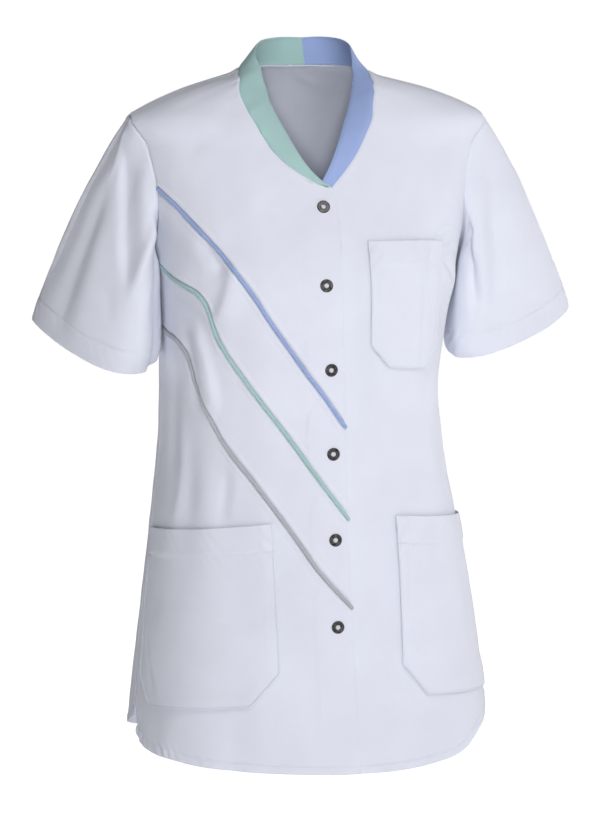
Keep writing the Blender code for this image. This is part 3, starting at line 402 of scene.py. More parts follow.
# Creases, beside the largest folds: a line from one angle and height to another, how far its
# middle bows to its left, how far it reaches on its left and right, and how far out it stands
CREASES = (
    (-31.0, -0.186, -43.0, -0.262, 0.004, 0.016, 0.008, 0.0052),
    (-44.0, -0.168, -36.5, -0.208, 0.000, 0.008, 0.011, -0.0040),
    (-56.0, -0.248, -43.0, -0.356, 0.008, 0.007, 0.013, 0.0045),
    (-62.0, -0.262, -52.0, -0.345, 0.006, 0.008, 0.009, -0.0038),
    (-36.5, -0.405, -39.5, -0.468, 0.000, 0.009, 0.007, -0.0016),
    (-33.0, -0.380, -34.0, -0.462, 0.002, 0.010, 0.008, 0.0014),
    (-72.0, -0.300, -70.0, -0.430, 0.000, 0.013, 0.011, -0.0032),
    (-62.0, -0.360, -64.0, -0.470, 0.003, 0.011, 0.009, 0.0026),
    (-11.0, -0.184, -2.0, -0.208, 0.001, 0.006, 0.004, -0.0008),
    (0.0, -0.212, 4.5, -0.222, 0.000, 0.004, 0.003, -0.0007),
    (5.5, -0.577, -1.5, -0.598, 0.001, 0.003, 0.005, -0.0010),
    (-14.0, -0.527, -2.0, -0.545, -0.002, 0.005, 0.007, -0.0009),
    (-24.0, -0.410, -12.0, -0.440, 0.002, 0.009, 0.007, -0.0008),
    (-22.0, -0.150, -12.0, -0.120, 0.003, 0.009, 0.008, -0.0010),
    (-46.0, -0.090, -30.0, -0.060, 0.004, 0.012, 0.009, -0.0012),
    (8.5, -0.225, 12.5, -0.400, 0.003, 0.010, 0.013, -0.0024),
    (17.0, -0.330, 18.0, -0.480, 0.002, 0.012, 0.010, 0.0010),
    (40.0, -0.176, 55.0, -0.162, 0.003, 0.005, 0.004, -0.0030),
    (45.0, -0.190, 60.0, -0.180, 0.002, 0.004, 0.005, -0.0026),
    (48.0, -0.196, 62.0, -0.222, 0.003, 0.006, 0.004, -0.0036),
    (52.0, -0.212, 60.0, -0.236, 0.002, 0.004, 0.004, 0.0026),
    (61.0, -0.375, 53.5, -0.470, 0.001, 0.005, 0.004, -0.0020),
    (30.0, -0.400, 28.0, -0.480, 0.003, 0.012, 0.012, -0.0012),
    (7.5, -0.575, 36.0, -0.705, 0.004, 0.012, 0.018, -0.0026),
    (44.0, -0.640, 47.0, -0.760, 0.002, 0.014, 0.012, 0.0018),
    (-30.0, -0.655, -34.0, -0.770, 0.003, 0.013, 0.013, -0.0018),
    (-58.0, -0.660, -60.0, -0.770, 0.002, 0.012, 0.011, 0.0011),
    (114.0, -0.180, 138.0, -0.236, 0.006, 0.012, 0.008, -0.0026),
    (118.0, -0.206, 150.0, -0.275, 0.006, 0.010, 0.014, 0.0022),
    (-113.0, -0.176, -136.0, -0.228, -0.006, 0.008, 0.012, -0.0026),
    (-118.0, -0.200, -152.0, -0.270, -0.007, 0.014, 0.010, 0.0022),
    (128.0, -0.300, 133.0, -0.470, 0.004, 0.012, 0.009, -0.0022),
    (160.0, -0.350, 156.0, -0.560, 0.003, 0.016, 0.012, 0.0020),
    (-132.0, -0.310, -136.0, -0.490, -0.003, 0.010, 0.013, -0.0024),
    (-163.0, -0.340, -160.0, -0.570, 0.004, 0.013, 0.016, 0.0020),
    (112.0, -0.480, 116.0, -0.780, 0.004, 0.016, 0.014, -0.0022),
    (-114.0, -0.470, -119.0, -0.780, 0.004, 0.015, 0.016, -0.0022),
    (150.0, -0.560, 153.0, -0.790, 0.003, 0.018, 0.015, -0.0020),
    (-172.0, -0.560, -170.0, -0.790, 0.003, 0.017, 0.018, 0.0020),
    (172.0, -0.060, 140.0, -0.110, 0.008, 0.013, 0.010, -0.0012),
    (-172.0, -0.062, -142.0, -0.118, -0.008, 0.010, 0.013, -0.0012),
    (176.0, -0.012, 150.0, -0.026, 0.003, 0.007, 0.006, -0.0009),
)

# Faint unevenness all over: waves with this length, height, direction and phase
WAVES = (
    (0.143, 0.00034, 12.0, 0.4),
    (0.097, 0.00026, 76.0, 2.2),
    (0.071, 0.00020, 141.0, 4.1),
    (0.052, 0.00015, 38.0, 1.1),
    (0.039, 0.00011, 104.0, 3.3),
    (0.029, 0.00007, 162.0, 5.2),
    (0.021, 0.00004, 61.0, 0.9),
)

# Sleeve creases: as the sleeve folds, with a bow and a reach on either side
SLEEVE_CREASES = (
    (-1, 112.0, 0.14, 94.0, 0.62, 0.000, 0.0060, 0.016, 0.0068),
    (-1, 33.0, 0.16, 92.0, 0.60, 0.000, 0.0060, 0.022, -0.0072),
    (-1, 108.0, 0.12, 112.0, 1.15, 0.000, 0.030, 0.017, 0.0085),
    (-1, 12.0, 0.06, 14.0, 0.90, 0.000, 0.020, 0.036, -0.0048),
    (-1, 138.0, 0.78, 138.0, 1.20, 0.000, 0.007, 0.007, -0.0012),
    (-1, 16.0, 0.08, 37.0, 0.32, 0.000, 0.005, 0.007, 0.0016),
    (-1, 26.0, 0.14, 41.0, 0.34, 0.000, 0.006, 0.004, -0.0016),
    (-1, 35.0, 0.34, 38.0, 0.95, 0.002, 0.012, 0.009, -0.0036),
    (-1, 49.0, 0.36, 56.0, 0.98, 0.002, 0.012, 0.013, 0.0030),
    (-1, 68.0, 0.64, 82.0, 0.76, 0.000, 0.005, 0.007, -0.0010),
    (-1, 124.0, 0.62, 125.0, 1.15, 0.000, 0.010, 0.009, 0.0032),
    (-1, 150.0, 0.22, 152.0, 1.15, 0.000, 0.014, 0.011, 0.0058),
    (-1, 112.0, 0.50, 112.0, 0.95, 0.000, 0.009, 0.012, 0.0012),
    (-1, 236.0, 0.10, 250.0, 0.95, 0.004, 0.011, 0.014, -0.0034),
    (-1, 268.0, 0.05, 284.0, 1.10, 0.004, 0.013, 0.010, 0.0028),
    (-1, 304.0, 0.15, 312.0, 1.00, -0.003, 0.012, 0.012, -0.0020),
    (1, 62.0, 0.28, 84.0, 0.80, 0.002, 0.010, 0.013, -0.0052),
    (1, 44.0, 0.30, 56.0, 0.85, 0.002, 0.015, 0.013, 0.0040),
    (1, 96.0, 0.30, 92.0, 0.90, 0.002, 0.012, 0.012, 0.0018),
    (1, 112.0, 0.44, 103.0, 0.74, 0.000, 0.009, 0.007, -0.0036),
    (1, 86.0, 0.66, 92.0, 1.00, 0.000, 0.012, 0.014, -0.0038),
    (1, 130.0, 0.18, 86.0, 0.42, 0.002, 0.005, 0.005, -0.0022),
    (1, 138.0, 0.22, 100.0, 0.46, 0.002, 0.007, 0.006, 0.0022),
    (1, 134.0, 0.72, 134.0, 1.15, 0.000, 0.010, 0.009, 0.0024),
    (1, 20.0, 0.30, 28.0, 1.10, 0.003, 0.014, 0.012, -0.0014),
    (1, 240.0, 0.10, 254.0, 0.95, 0.004, 0.011, 0.014, -0.0034),
    (1, 272.0, 0.05, 286.0, 1.10, 0.004, 0.013, 0.010, 0.0028),
    (1, 306.0, 0.15, 314.0, 1.00, -0.003, 0.012, 0.012, -0.0020),
)
SLEEVE_HEM = 0.0245

# Patch pockets: the corners of each (top inner, top outer, low inner, low outer), as angle and
# height, the chamfer's size as a share of the width and of the height, the width of the top hem
# and of what is turned under below, and where a pen division is sewn, as a share of the width
POCKETS = (
    ("pocket_chest", (12.6, -0.1730), (45.4, -0.1755), (15.6, -0.3000), (49.0, -0.3080),
     0.22, 0.170, 0.0300, 0.0100, 0.70),
    ("pocket_hip_right", (-18.9, -0.4590), (-87.0, -0.4800), (-15.8, -0.6470), (-79.5, -0.6640),
     0.15, 0.175, 0.0290, 0.0130, None),
    ("pocket_hip_left", (23.4, -0.4560), (87.0, -0.4740), (20.6, -0.6430), (79.5, -0.6580),
     0.15, 0.175, 0.0290, 0.0130, None),
)
# How far a pocket stands off the cloth, how full it is, and over what distances that grows
POCKET_LIFT = 0.0009
POCKET_FULLNESS = 0.0014
POCKET_FULL_FROM = 0.7
POCKET_FULL_REACH = 0.012
# What is turned under raises its edge, and its creases begin that far from the edge
POCKET_RISE = 0.00025
POCKET_RISE_EDGE = 0.0016
POCKET_CREASE_FROM = 0.004
POCKET_CELL = 0.0025
# The pen division's sewn line, and how it flattens the pocket beside it
DIVISION_DEPTH = 0.0011
DIVISION_REACH = 0.0011
DIVISION_FLAT = 0.6
DIVISION_FLAT_REACH = 0.006
OUTLINE_POINTS = 260
EDGE_STITCH = 0.0018

# Pocket creases: from one place to another as shares across and up, the reach, and how far out
POCKET_CREASES = {
    "pocket_chest": (
        (0.30, 0.12, 0.66, 0.09, 0.004, -0.0008),
        (0.70, 0.16, 0.76, 0.74, 0.007, -0.0009),
    ),
    "pocket_hip_right": (
        (0.36, 0.56, 0.98, 0.66, 0.010, -0.0012),
        (0.05, 0.45, 0.40, 0.50, 0.008, -0.0012),
        (0.10, 0.36, 0.34, 0.42, 0.007, 0.0010),
        (0.93, 0.34, 0.80, 0.10, 0.005, -0.0018),
        (0.86, 0.30, 0.74, 0.10, 0.006, 0.0010),
        (0.50, 0.14, 0.16, 0.11, 0.006, -0.0008),
    ),
    "pocket_hip_left": (
        (0.24, 0.05, 0.16, 0.96, 0.010, 0.0009),
        (0.62, 0.10, 0.55, 0.90, 0.009, -0.0010),
        (0.08, 0.38, 0.34, 0.45, 0.008, -0.0010),
        (0.05, 0.17, 0.22, 0.20, 0.004, -0.0009),
    ),
}

# Colours, and how fine the cloth's wales and the piping's ribs are
WHITE = (0.745, 0.768, 0.865)
MINT = (0.40, 0.60, 0.59)
BLUE = (0.335, 0.435, 0.745)
GREY = (0.47, 0.48, 0.52)
METAL = (0.060, 0.058, 0.058)
TWILL_SCALE = 520.0
RIB_SCALE = 300.0


def column(table, names, name):
    """One named column of a table, as numbers."""
    return np.array([row[names.index(name)] for row in table], float)


def smooth(knots, values, at):
    """A smooth curve through the values, read at the given places."""
    knots = np.asarray(knots, float)
    values = np.asarray(values, float).reshape(len(knots), -1)
    order = np.argsort(knots)
    knots, values = knots[order], values[order]
    step = np.diff(knots)[:, None]
    rise = np.diff(values, axis=0) / step
    slope = np.empty_like(values)
    slope[0], slope[-1] = rise[0], rise[-1]
    share = step[1:] / (step[1:] + step[:-1])
    slope[1:-1] = rise[:-1] * share + rise[1:] * (1 - share)
    at = np.clip(np.asarray(at, float), knots[0], knots[-1])
    low = np.clip(np.searchsorted(knots, at, side="right") - 1, 0, len(knots) - 2)
    width = step[low]
    t = (at - knots[low])[..., None] / width
    start = (2 * t**3 - 3 * t**2 + 1) * values[low] + (t**3 - 2 * t**2 + t) * width * slope[low]
    end = (3 * t**2 - 2 * t**3) * values[low + 1] + (t**3 - t**2) * width * slope[low + 1]
    result = start + end
    return result[..., 0] if result.shape[-1] == 1 else result


def along(points, count=None, shares=None):
    """Points of a smooth curve through a table's rows, spaced evenly or at given shares."""
    points = np.asarray(points, float)
    length = run_lengths(points * FLAT_SCALE)
    if shares is None:
        shares = np.linspace(0, 1, count + 1)
    return smooth(length, points, np.asarray(shares) * length[-1])


def run_lengths(line):
    """Distance along a line of points, at each of them."""
    return np.r_[0, np.cumsum(np.linalg.norm(np.diff(line, axis=0), axis=1))]


def unit(directions):
    """Directions of length one."""
    return directions / np.linalg.norm(directions, axis=-1, keepdims=True)


def read_along(at, places, rows):
    """Rows of numbers read at the given places."""
    return np.stack([np.interp(at, places, rows[:, k]) for k in range(rows.shape[1])], -1)


def ease(value):
    """0 below 0, 1 above 1 and smooth between."""
    value = np.clip(value, 0, 1)
    return value * value * (3 - 2 * value)


def bell(away, reach):
    """1 at a line, and softly down to 0 beyond its reach."""
    return np.exp(-((away / reach) ** 2))


def wrap(angle):
    """The same angle, between -180 and 180."""
    return (angle + 180) % 360 - 180


def figure(angle, height):
    """A point of the general figure."""
    angle = np.asarray(angle, float)
    height = np.asarray(height, float)
    heights = column(SECTIONS, SECTION_COLUMNS, "height")
    sizes = [column(SECTIONS, SECTION_COLUMNS, name) for name in SECTION_COLUMNS[1:]]
    width, front, back, square, sway = np.moveaxis(
        smooth(heights, np.transpose(sizes), height), -1, 0
    )
    turn = np.radians(angle)
    x = sway + width * (np.sin(turn) + square * np.sin(3 * turn)) / (1 - square)
    forward = (np.cos(turn) - square * np.cos(3 * turn)) / (1 - square)
    y = -np.where(forward >= 0, front, back) * forward
    return np.stack([x, y, height + 0 * x], -1)


def outward(angle, height):
    """The figure's outward direction."""
    step_angle, step_height = 0.05, 0.0002
    height = np.clip(height, -0.755, -step_height)
    across = figure(angle + step_angle, height) - figure(angle - step_angle, height)
    up = figure(angle, height + step_height) - figure(angle, height - step_height)
    return unit(np.cross(across, up))


def fold_distance(a, b, a1, b1, a2, b2):
    """Distance to a straight line in the flat cloth, and the place along it."""
    run_a, run_b = a2 - a1, b2 - b1
    share = ((a - a1) * run_a + (b - b1) * run_b) / (run_a**2 + run_b**2)
    held = np.clip(share, 0, 1)
    return np.hypot(a - a1 - held * run_a, b - b1 - held * run_b), held


def swell(share):
    """A fold's strength along its line: fullest at the middle, weaker at both ends."""
    return FOLD_END_SHARE + (1 - FOLD_END_SHARE) * np.sin(math.pi * share)


def fold_out(angle, height):
    """How far the body's folds move the cloth out."""
    total = np.zeros(np.broadcast(angle, height).shape)
    for angle_1, height_1, angle_2, height_2, reach, out in BODY_FOLDS:
        away, share = fold_distance(
            angle * ARC, height, angle_1 * ARC, height_1, angle_2 * ARC, height_2
        )
        total += out * swell(share) * bell(away, reach)
    return total


def cloth(angle, height, lift=0.0):
    """A point of the cloth's inner side, moved out by lift, and its outward direction."""
    angle, height = np.asarray(angle, float), np.asarray(height, float)
    wrapped = wrap(angle)
    normal = outward(angle, height)
    point = figure(angle, height) + normal * (fold_out(wrapped, height) + lift)[..., None]
    return point, normal


def angle_at(distance, height):
    """The angle on the front where the figure is that far to the wearer's left."""
    low = np.full(np.shape(height), -FRONT_REACH)
    high = np.full(np.shape(height), FRONT_REACH)
    for _ in range(30):
        middle = (low + high) / 2
        short = figure(middle, height)[..., 0] < distance
        low, high = np.where(short, middle, low), np.where(short, high, middle)
    return (low + high) / 2


def edge_line(table, heights, shift=0.0):
    """Angle and height along the front edge, at the given heights."""
    rows = np.array(table)
    distance = smooth(rows[:, 0], rows[:, 1], heights) + shift
    return np.stack([angle_at(distance, heights), heights], -1)


def coons(bottom, top, left, right, across, up):
    """A grid of rows from bottom to top between four lines, at shares across and up."""
    s = across[None, :, None]
    t = up[:, None, None]
    ruled = (1 - t) * bottom[None] + t * top[None]
    sides = (1 - s) * left[:, None] + s * right[:, None]
    corners = (1 - s) * ((1 - t) * bottom[0] + t * top[0]) + s * (
        (1 - t) * bottom[-1] + t * top[-1]
    )
    return ruled + sides - corners


def reach_of(away, left, right):
    """The soft bell of a crease that is wider on one side than on the other."""
    reach = np.where(away > 0, left, right)
    return bell(away, reach)


def crease(a, b, row, bow):
    """Signed distance to a bowed line in the flat cloth, and the strength along it."""
    a1, b1, a2, b2 = row
    run_a, run_b = a2 - a1, b2 - b1
    length = math.hypot(run_a, run_b)
    share = ((a - a1) * run_a + (b - b1) * run_b) / length**2
    away = (run_a * (b - b1) - run_b * (a - a1)) / length
    held = np.clip(share, 0, 1)
    away = away - bow * 4 * held * (1 - held)
    strength = 1
    for from_end in (share, 1 - share):
        strength = strength * ease(from_end / CREASE_FADE + CREASE_END)
    return away, strength


def relief(angle, height):
    """How far the finer creases and the cloth's unevenness move the body's face out."""
    a, b = angle * ARC, height
    total = np.zeros(np.broadcast(angle, height).shape)
    for angle_1, height_1, angle_2, height_2, bow, left, right, out in CREASES:
        line = (angle_1 * ARC, height_1, angle_2 * ARC, height_2)
        away, strength = crease(a, b, line, bow)
        total += out * strength * reach_of(away, left, right)
    return total + waves(a, b) - neck_dip(angle, height)


def neck_dip(angle, height):
    """How far the shoulders sink beside the neck, where the band's seam pulls them in."""
    round_it = np.exp(-(((abs(angle) - NECK_DIP_ANGLE) / NECK_DIP_SPREAD) ** 4))
    return NECK_DIP * round_it * bell(height, NECK_DIP_REACH)


def waves(a, b):
    """The faint unevenness at a place in the flat cloth."""
    total = 0
    for length, out, turn, phase in WAVES:
        cos, sin = math.cos(math.radians(turn)), math.sin(math.radians(turn))
        bend = 0.8 * np.sin((a * sin - b * cos) / length * 2.3 + phase)
        total = total + out * np.sin((a * cos + b * sin) * 2 * math.pi / length + phase + bend)
    return total


def dimples(angle, height):
    """The cloth pressed in round each snap."""
    total = 0
    for snap_height, distance in SNAPS:
        middle = angle_at(np.array([distance]), np.array([snap_height]))[0]
        away = np.hypot((angle - middle) * ARC, height - snap_height)
        total = total - SNAP_DIMPLE * bell(away, SNAP_DIMPLE_REACH)
    return total


def face(angle, height, lift):
    """Points of a piece's outer face with its creases, and the outward directions there."""
    wrapped = wrap(angle)
    return cloth(angle, height, lift + PROUD + relief(wrapped, height))


def right_lift(angle, height):
    """The right front rises onto the left front near the closure."""
    rise = ease((angle - LIFT_START) / (LIFT_END - LIFT_START))
    return OVERLAP_LIFT * rise + dimples(angle, height)


def no_lift(angle, height):
    """Pieces next to the body aren't lifted."""
    return np.zeros(np.broadcast(angle, height).shape)


def flat_length(line):
    """Distance along a line of angles and heights, in metres."""
    return run_lengths(np.asarray(line) * FLAT_SCALE)


def resampled(line, shares):
    """Points of a line at shares of its length."""
    places = flat_length(line)
    at = np.asarray(shares) * places[-1]
    return read_along(at, places, line)


def steps(length, start=(), end=(), cell=CELL):
    """Shares along a length: even steps, with finer ones at the given places near its ends."""
    even = np.linspace(0, length, max(2, round(length / cell)) + 1)
    gaps = [d for d in (*start, *(length - d for d in end)) if 0 < d < length]
    apart = [min((abs(d - e) for d in gaps), default=1) > cell / 3 for e in even]
    apart[0] = apart[-1] = True
    places = np.r_[even[apart], gaps]
    places = np.unique(np.round(np.clip(places, 0, length), 7))
    wide = np.r_[True, np.diff(places) > 0.00008]
    wide[-1] = True
    return places[wide] / length


def hem_steps(width):
    """Fine steps for a turned edge: at the edge itself and about its stitched groove."""
    return (*EDGE_STEPS, 0.005, *(width + step for step in GROOVE_STEPS))


def patch(bottom, top, left, right, low, high, first, last, cell):
    """A fine grid between four lines, with the given steps near its four sides."""
    across_length = (flat_length(bottom)[-1] + flat_length(top)[-1]) / 2
    up_length = (flat_length(left)[-1] + flat_length(right)[-1]) / 2
    across = steps(across_length, first, last, cell)
    up = steps(up_length, low, high, cell)
    return coons(
        resampled(bottom, across), resampled(top, across), resampled(left, up),
        resampled(right, up), across, up,
    )


def nearest(points, line):
    """Distance from each point to a line of points, and the place along the line."""
    flat = points.reshape(-1, 3)
    places = run_lengths(line)
    start, run = line[:-1], np.diff(line, axis=0)
    square = np.maximum((run**2).sum(1), 1e-14)
    away = np.empty(len(flat))
    along_it = np.empty(len(flat))
    for k in range(0, len(flat), 4000):
        offset = flat[k : k + 4000, None] - start[None]
        share = np.clip((offset * run).sum(-1) / square, 0, 1)
        gap = ((offset - share[..., None] * run) ** 2).sum(-1)
        best = gap.argmin(1)
        rows = np.arange(len(best))
        away[k : k + 4000] = np.sqrt(gap[rows, best])
        along_it[k : k + 4000] = places[best] + share[rows, best] * np.sqrt(square[best])
    shape = points.shape[:2]
    return away.reshape(shape), along_it.reshape(shape)


def finish(kind, away, place, gather=1.0):
    """How an edge's finish moves the outer face, and how much thicker it makes the cloth."""
    dip, reach, width, rise, groove, pucker, layers = EDGES[kind]
    out = -dip * bell(away, reach)
    if kind == "piped":
        out = -dip * (1 - ease((away - reach) / SLOT_RUN))
    inside = 1 - ease((away - width) / TURN_EDGE + 0.5)
    out = out + rise * inside
    out = out - groove * bell(away - width, GROOVE_REACH)
    sway = sum(size * np.sin(place * 2 * math.pi / run + start) for size, run, start in PUCKER_SWAYS)
    phase = (place + PUCKER_SLANT * away) * 2 * math.pi / PUCKER_LENGTH + sway
    uneven = 1 - PUCKER_SWING + PUCKER_SWING * np.sin(place * 2 * math.pi / PUCKER_SWING_LENGTH + 1)
    window = bell(away - PUCKER_MIDDLE * width, PUCKER_REACH * width)
    out = out + pucker * gather * uneven * window * np.sin(phase)
    return out, layers * inside


def rounded(away, thickness):
    """How much of the thickness is lost at a folded edge, for a round fold."""
    half = thickness / 2
    near = np.clip(1 - away / half, 0, 1)
    return half * (1 - np.sqrt(1 - near**2))


def two_faces(points, ways, out, thickness, from_fold):
    """A cloth's outer and inner face, drawn together at its folded edges."""
    lost = rounded(from_fold, thickness)
    outer = points + ways * (out - lost)[..., None]
    inner = points + ways * (out - thickness + lost)[..., None]
    return outer, inner


def shell(name, outer, inner, materials, flat, closed=False):
    """A thin closed piece between two grids, with flat cloth sizes as its UV map."""
    rows, columns = outer.shape[:2]
    index = np.arange(rows * columns).reshape(rows, columns)
    if closed:
        index = np.hstack([index, index[:, :1]])
    under = index + rows * columns

    def cells(grid):
        return np.stack([grid[:-1, :-1], grid[:-1, 1:], grid[1:, 1:], grid[1:, :-1]], -1).reshape(-1, 4)

    def rim(top, low):
        return np.stack([top[:-1], low[:-1], low[1:], top[1:]], -1)

    faces = [cells(index), cells(under)[:, ::-1]]
    faces += [rim(index[0], under[0]), rim(index[-1, ::-1], under[-1, ::-1])]
    if not closed:
        faces += [rim(index[::-1, 0], under[::-1, 0]), rim(index[:, -1], under[:, -1])]
    faces = np.concatenate(faces)
    points = np.concatenate([outer.reshape(-1, 3), inner.reshape(-1, 3)])
    corners = points[faces]
    volume = np.einsum("ij,ij->i", corners[:, 0], np.cross(corners[:, 1], corners[:, 2])).sum()
    if volume < 0:
        faces = faces[:, ::-1]
    uv = np.concatenate([flat.reshape(-1, 2)] * 2)
    return mesh_piece(name, points, faces, materials, uv)


def mesh_piece(name, points, faces, materials, uv=None):
    """A smooth piece that rides on the part's one body."""
    mesh = bpy.data.meshes.new(name)
    mesh.from_pydata(points.tolist(), [], faces.tolist() if hasattr(faces, "tolist") else faces)
    for item in materials:
        mesh.materials.append(item)
    if uv is not None:
        layer = mesh.uv_layers.new(name="flat_cloth")
        corner = np.empty(len(mesh.loops), np.int32)
        mesh.loops.foreach_get("vertex_index", corner)
        layer.data.foreach_set("uv", uv[corner].astype(np.float32).reshape(-1))
    mesh.shade_smooth()
    mesh.update()
    piece = bpy.data.objects.new(name, mesh)
    bpy.context.scene.collection.objects.link(piece)
    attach(piece, "root")
    return piece


def stand_for(piece, node):
    """The piece stands for a CAD node, which it hides."""
    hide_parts(node)
    return piece


def inset_line(points, normals, away, distance, side):
    """Points and directions of the line at a distance from one side of a grid."""
    if side in ("top", "bottom"):
        fields = [np.moveaxis(f, 1, 0) for f in (points, normals)]
        away = away.T
    else:
        fields = [points, normals]
    if side in ("top", "right"):
        fields = [f[:, ::-1] for f in fields]
        away = away[:, ::-1]
    line = []
    for k in range(len(away)):
        past = np.flatnonzero(away[k] >= distance)
        if not len(past) or past[0] == 0:
            continue
        j = past[0]
        share = (distance - away[k, j - 1]) / (away[k, j] - away[k, j - 1])
        line.append([f[k, j - 1] * (1 - share) + f[k, j] * share for f in fields])
    line = np.array(line)
    return line[:, 0], line[:, 1]


def stitches(name, lines, material):
    """Rows of small raised stitches, each line given as points and outward directions."""
    points, faces = [], []
    for line, normals in lines:
        places = run_lengths(line)
        for at in np.arange(STITCH_STEP, places[-1] - STITCH_STEP / 2, STITCH_STEP):
            centre = np.array([np.interp(at, places, line[:, k]) for k in range(3)])
            ahead = np.array([np.interp(at + 0.0008, places, line[:, k]) for k in range(3)])
            up = np.array([np.interp(at, places, normals[:, k]) for k in range(3)])
            run = ahead - centre
            if np.linalg.norm(run) < 1e-7:
                continue
            run = unit(run)
            side = unit(np.cross(up, run))
            up = np.cross(run, side)
            centre = centre + up * STITCH_RADIUS * 0.35
            base = len(points)
            points.append(centre - run * STITCH_LENGTH / 2 - up * STITCH_RADIUS)
            for shift in (-0.28, 0.28):
                for a, b in ((1, 0), (0, 1), (-1, 0), (0, -1)):
                    spoke = (side * a + up * b) * STITCH_RADIUS
                    points.append(centre + run * STITCH_LENGTH * shift + spoke)
            points.append(centre + run * STITCH_LENGTH / 2 - up * STITCH_RADIUS)
            for k in range(4):
                n = (k + 1) % 4
                faces.append((base, base + 1 + n, base + 1 + k))
                faces.append((base + 1 + k, base + 1 + n, base + 5 + n, base + 5 + k))
                faces.append((base + 9, base + 5 + k, base + 5 + n))
    piece = mesh_piece(name, np.array(points), faces, [material])
    return piece


def new_material(name, colour):
    """A material with the given look in the viewport, its node tree and its shader."""
    result = bpy.data.materials.new(name)
    result.use_nodes = True
    result.diffuse_color = (*colour, 1)
    return result, result.node_tree, result.node_tree.nodes["Principled BSDF"]


def put(made, **inputs):
    """Sets a node's inputs, named with _ in place of spaces, and gives the node back."""
    for key, value in inputs.items():
        made.inputs[key.replace("_", " ")].default_value = value
    return made


def tones(tree, source, colour, low, high):
    """Two tones of a colour, by a texture's strength: each a place and a share of brightness."""
    ramp = tree.nodes.new("ShaderNodeValToRGB")
    for stop, (place, share) in zip(ramp.color_ramp.elements, (low, high)):
        stop.position = place
        stop.color = (*(min(1.0, part * share) for part in colour), 1)
    tree.links.new(source, ramp.inputs["Fac"])
    return ramp.outputs["Color"]


def twill(name, colour, roughness=0.82, relief_strength=0.35):
    """Woven cloth: a slanting wale, fine yarn noise and a faint unevenness of tone."""
    result, tree, shader = new_material(name, colour)
    put(shader, Roughness=roughness, Specular_IOR_Level=0.25, Sheen_Weight=0.12, Sheen_Roughness=0.55)

    def node(kind, **inputs):
        return put(tree.nodes.new(kind), **inputs)

    uv = node("ShaderNodeUVMap")
    uv.uv_map = "flat_cloth"
    wale = node("ShaderNodeTexWave", Scale=TWILL_SCALE, Distortion=1.2, Detail=1.0)
    wale.bands_direction = "DIAGONAL"
    tree.links.new(uv.outputs[0], wale.inputs["Vector"])
    place = node("ShaderNodeTexCoord")
    yarn = node("ShaderNodeTexNoise", Scale=1400.0, Detail=3.0, Roughness=0.6)
    tree.links.new(place.outputs["Object"], yarn.inputs["Vector"])
    mixed = node("ShaderNodeMix")
    mixed.data_type = "FLOAT"
    mixed.inputs[0].default_value = 0.45
    tree.links.new(wale.outputs["Fac"], mixed.inputs[2])
    tree.links.new(yarn.outputs["Fac"], mixed.inputs[3])
    bump = node("ShaderNodeBump", Strength=relief_strength, Distance=0.00012)
    tree.links.new(mixed.outputs[0], bump.inputs["Height"])
    crumple = node("ShaderNodeTexNoise", Scale=95.0, Detail=3.0, Roughness=0.55)
    tree.links.new(place.outputs["Object"], crumple.inputs["Vector"])
    soft = node("ShaderNodeBump", Strength=0.22, Distance=0.0006)
    tree.links.new(crumple.outputs["Fac"], soft.inputs["Height"])
    tree.links.new(bump.outputs["Normal"], soft.inputs["Normal"])
    tree.links.new(soft.outputs["Normal"], shader.inputs["Normal"])
    tone = node("ShaderNodeTexNoise", Scale=14.0, Detail=4.0, Roughness=0.55)
    tree.links.new(place.outputs["Object"], tone.inputs["Vector"])
    uneven = tones(tree, tone.outputs["Fac"], colour, (0.3, 0.965), (0.7, 1.02))
    weave = node("ShaderNodeMix")
    weave.data_type = "RGBA"
    weave.blend_type = "MULTIPLY"
    weave.inputs[0].default_value = 0.10
    tree.links.new(uneven, weave.inputs[6])
    tree.links.new(wale.outputs["Color"], weave.inputs[7])
    tree.links.new(weave.outputs[2], shader.inputs["Base Color"])
    return result


def plain_metal(name, colour):
    """Dark plated metal, a little worn where it is rubbed."""
    result, tree, shader = new_material(name, colour)
    put(shader, Metallic=1.0)
    place = tree.nodes.new("ShaderNodeTexCoord")
    noise = put(tree.nodes.new("ShaderNodeTexNoise"), Scale=420.0, Detail=4.0)
    tree.links.new(place.outputs["Object"], noise.inputs["Vector"])
    worn = tones(tree, noise.outputs["Fac"], colour, (0.35, 0.6), (0.72, 2.4))
    tree.links.new(worn, shader.inputs["Base Color"])
    rough = put(tree.nodes.new("ShaderNodeMapRange"), To_Min=0.18, To_Max=0.42)
    tree.links.new(noise.outputs["Fac"], rough.inputs["Value"])
    tree.links.new(rough.outputs["Result"], shader.inputs["Roughness"])
    return result


def ribbed(name, colour):
    """Cord piping: ribs across the strip and a slightly silkier face."""
    result = twill(name, colour, 0.6, 0.2)
    tree = result.node_tree
    uv = next(n for n in tree.nodes if n.bl_idname == "ShaderNodeUVMap")
    rib = put(tree.nodes.new("ShaderNodeTexWave"), Scale=RIB_SCALE, Distortion=0.8)
    rib.bands_direction = "X"
    tree.links.new(uv.outputs[0], rib.inputs["Vector"])
    bump = put(tree.nodes.new("ShaderNodeBump"), Strength=0.6, Distance=0.0003)
    shader = tree.nodes["Principled BSDF"]
    tree.links.new(shader.inputs["Normal"].links[0].from_socket, bump.inputs["Normal"])
    tree.links.new(rib.outputs["Fac"], bump.inputs["Height"])
    tree.links.new(bump.outputs["Normal"], shader.inputs["Normal"])
    return result


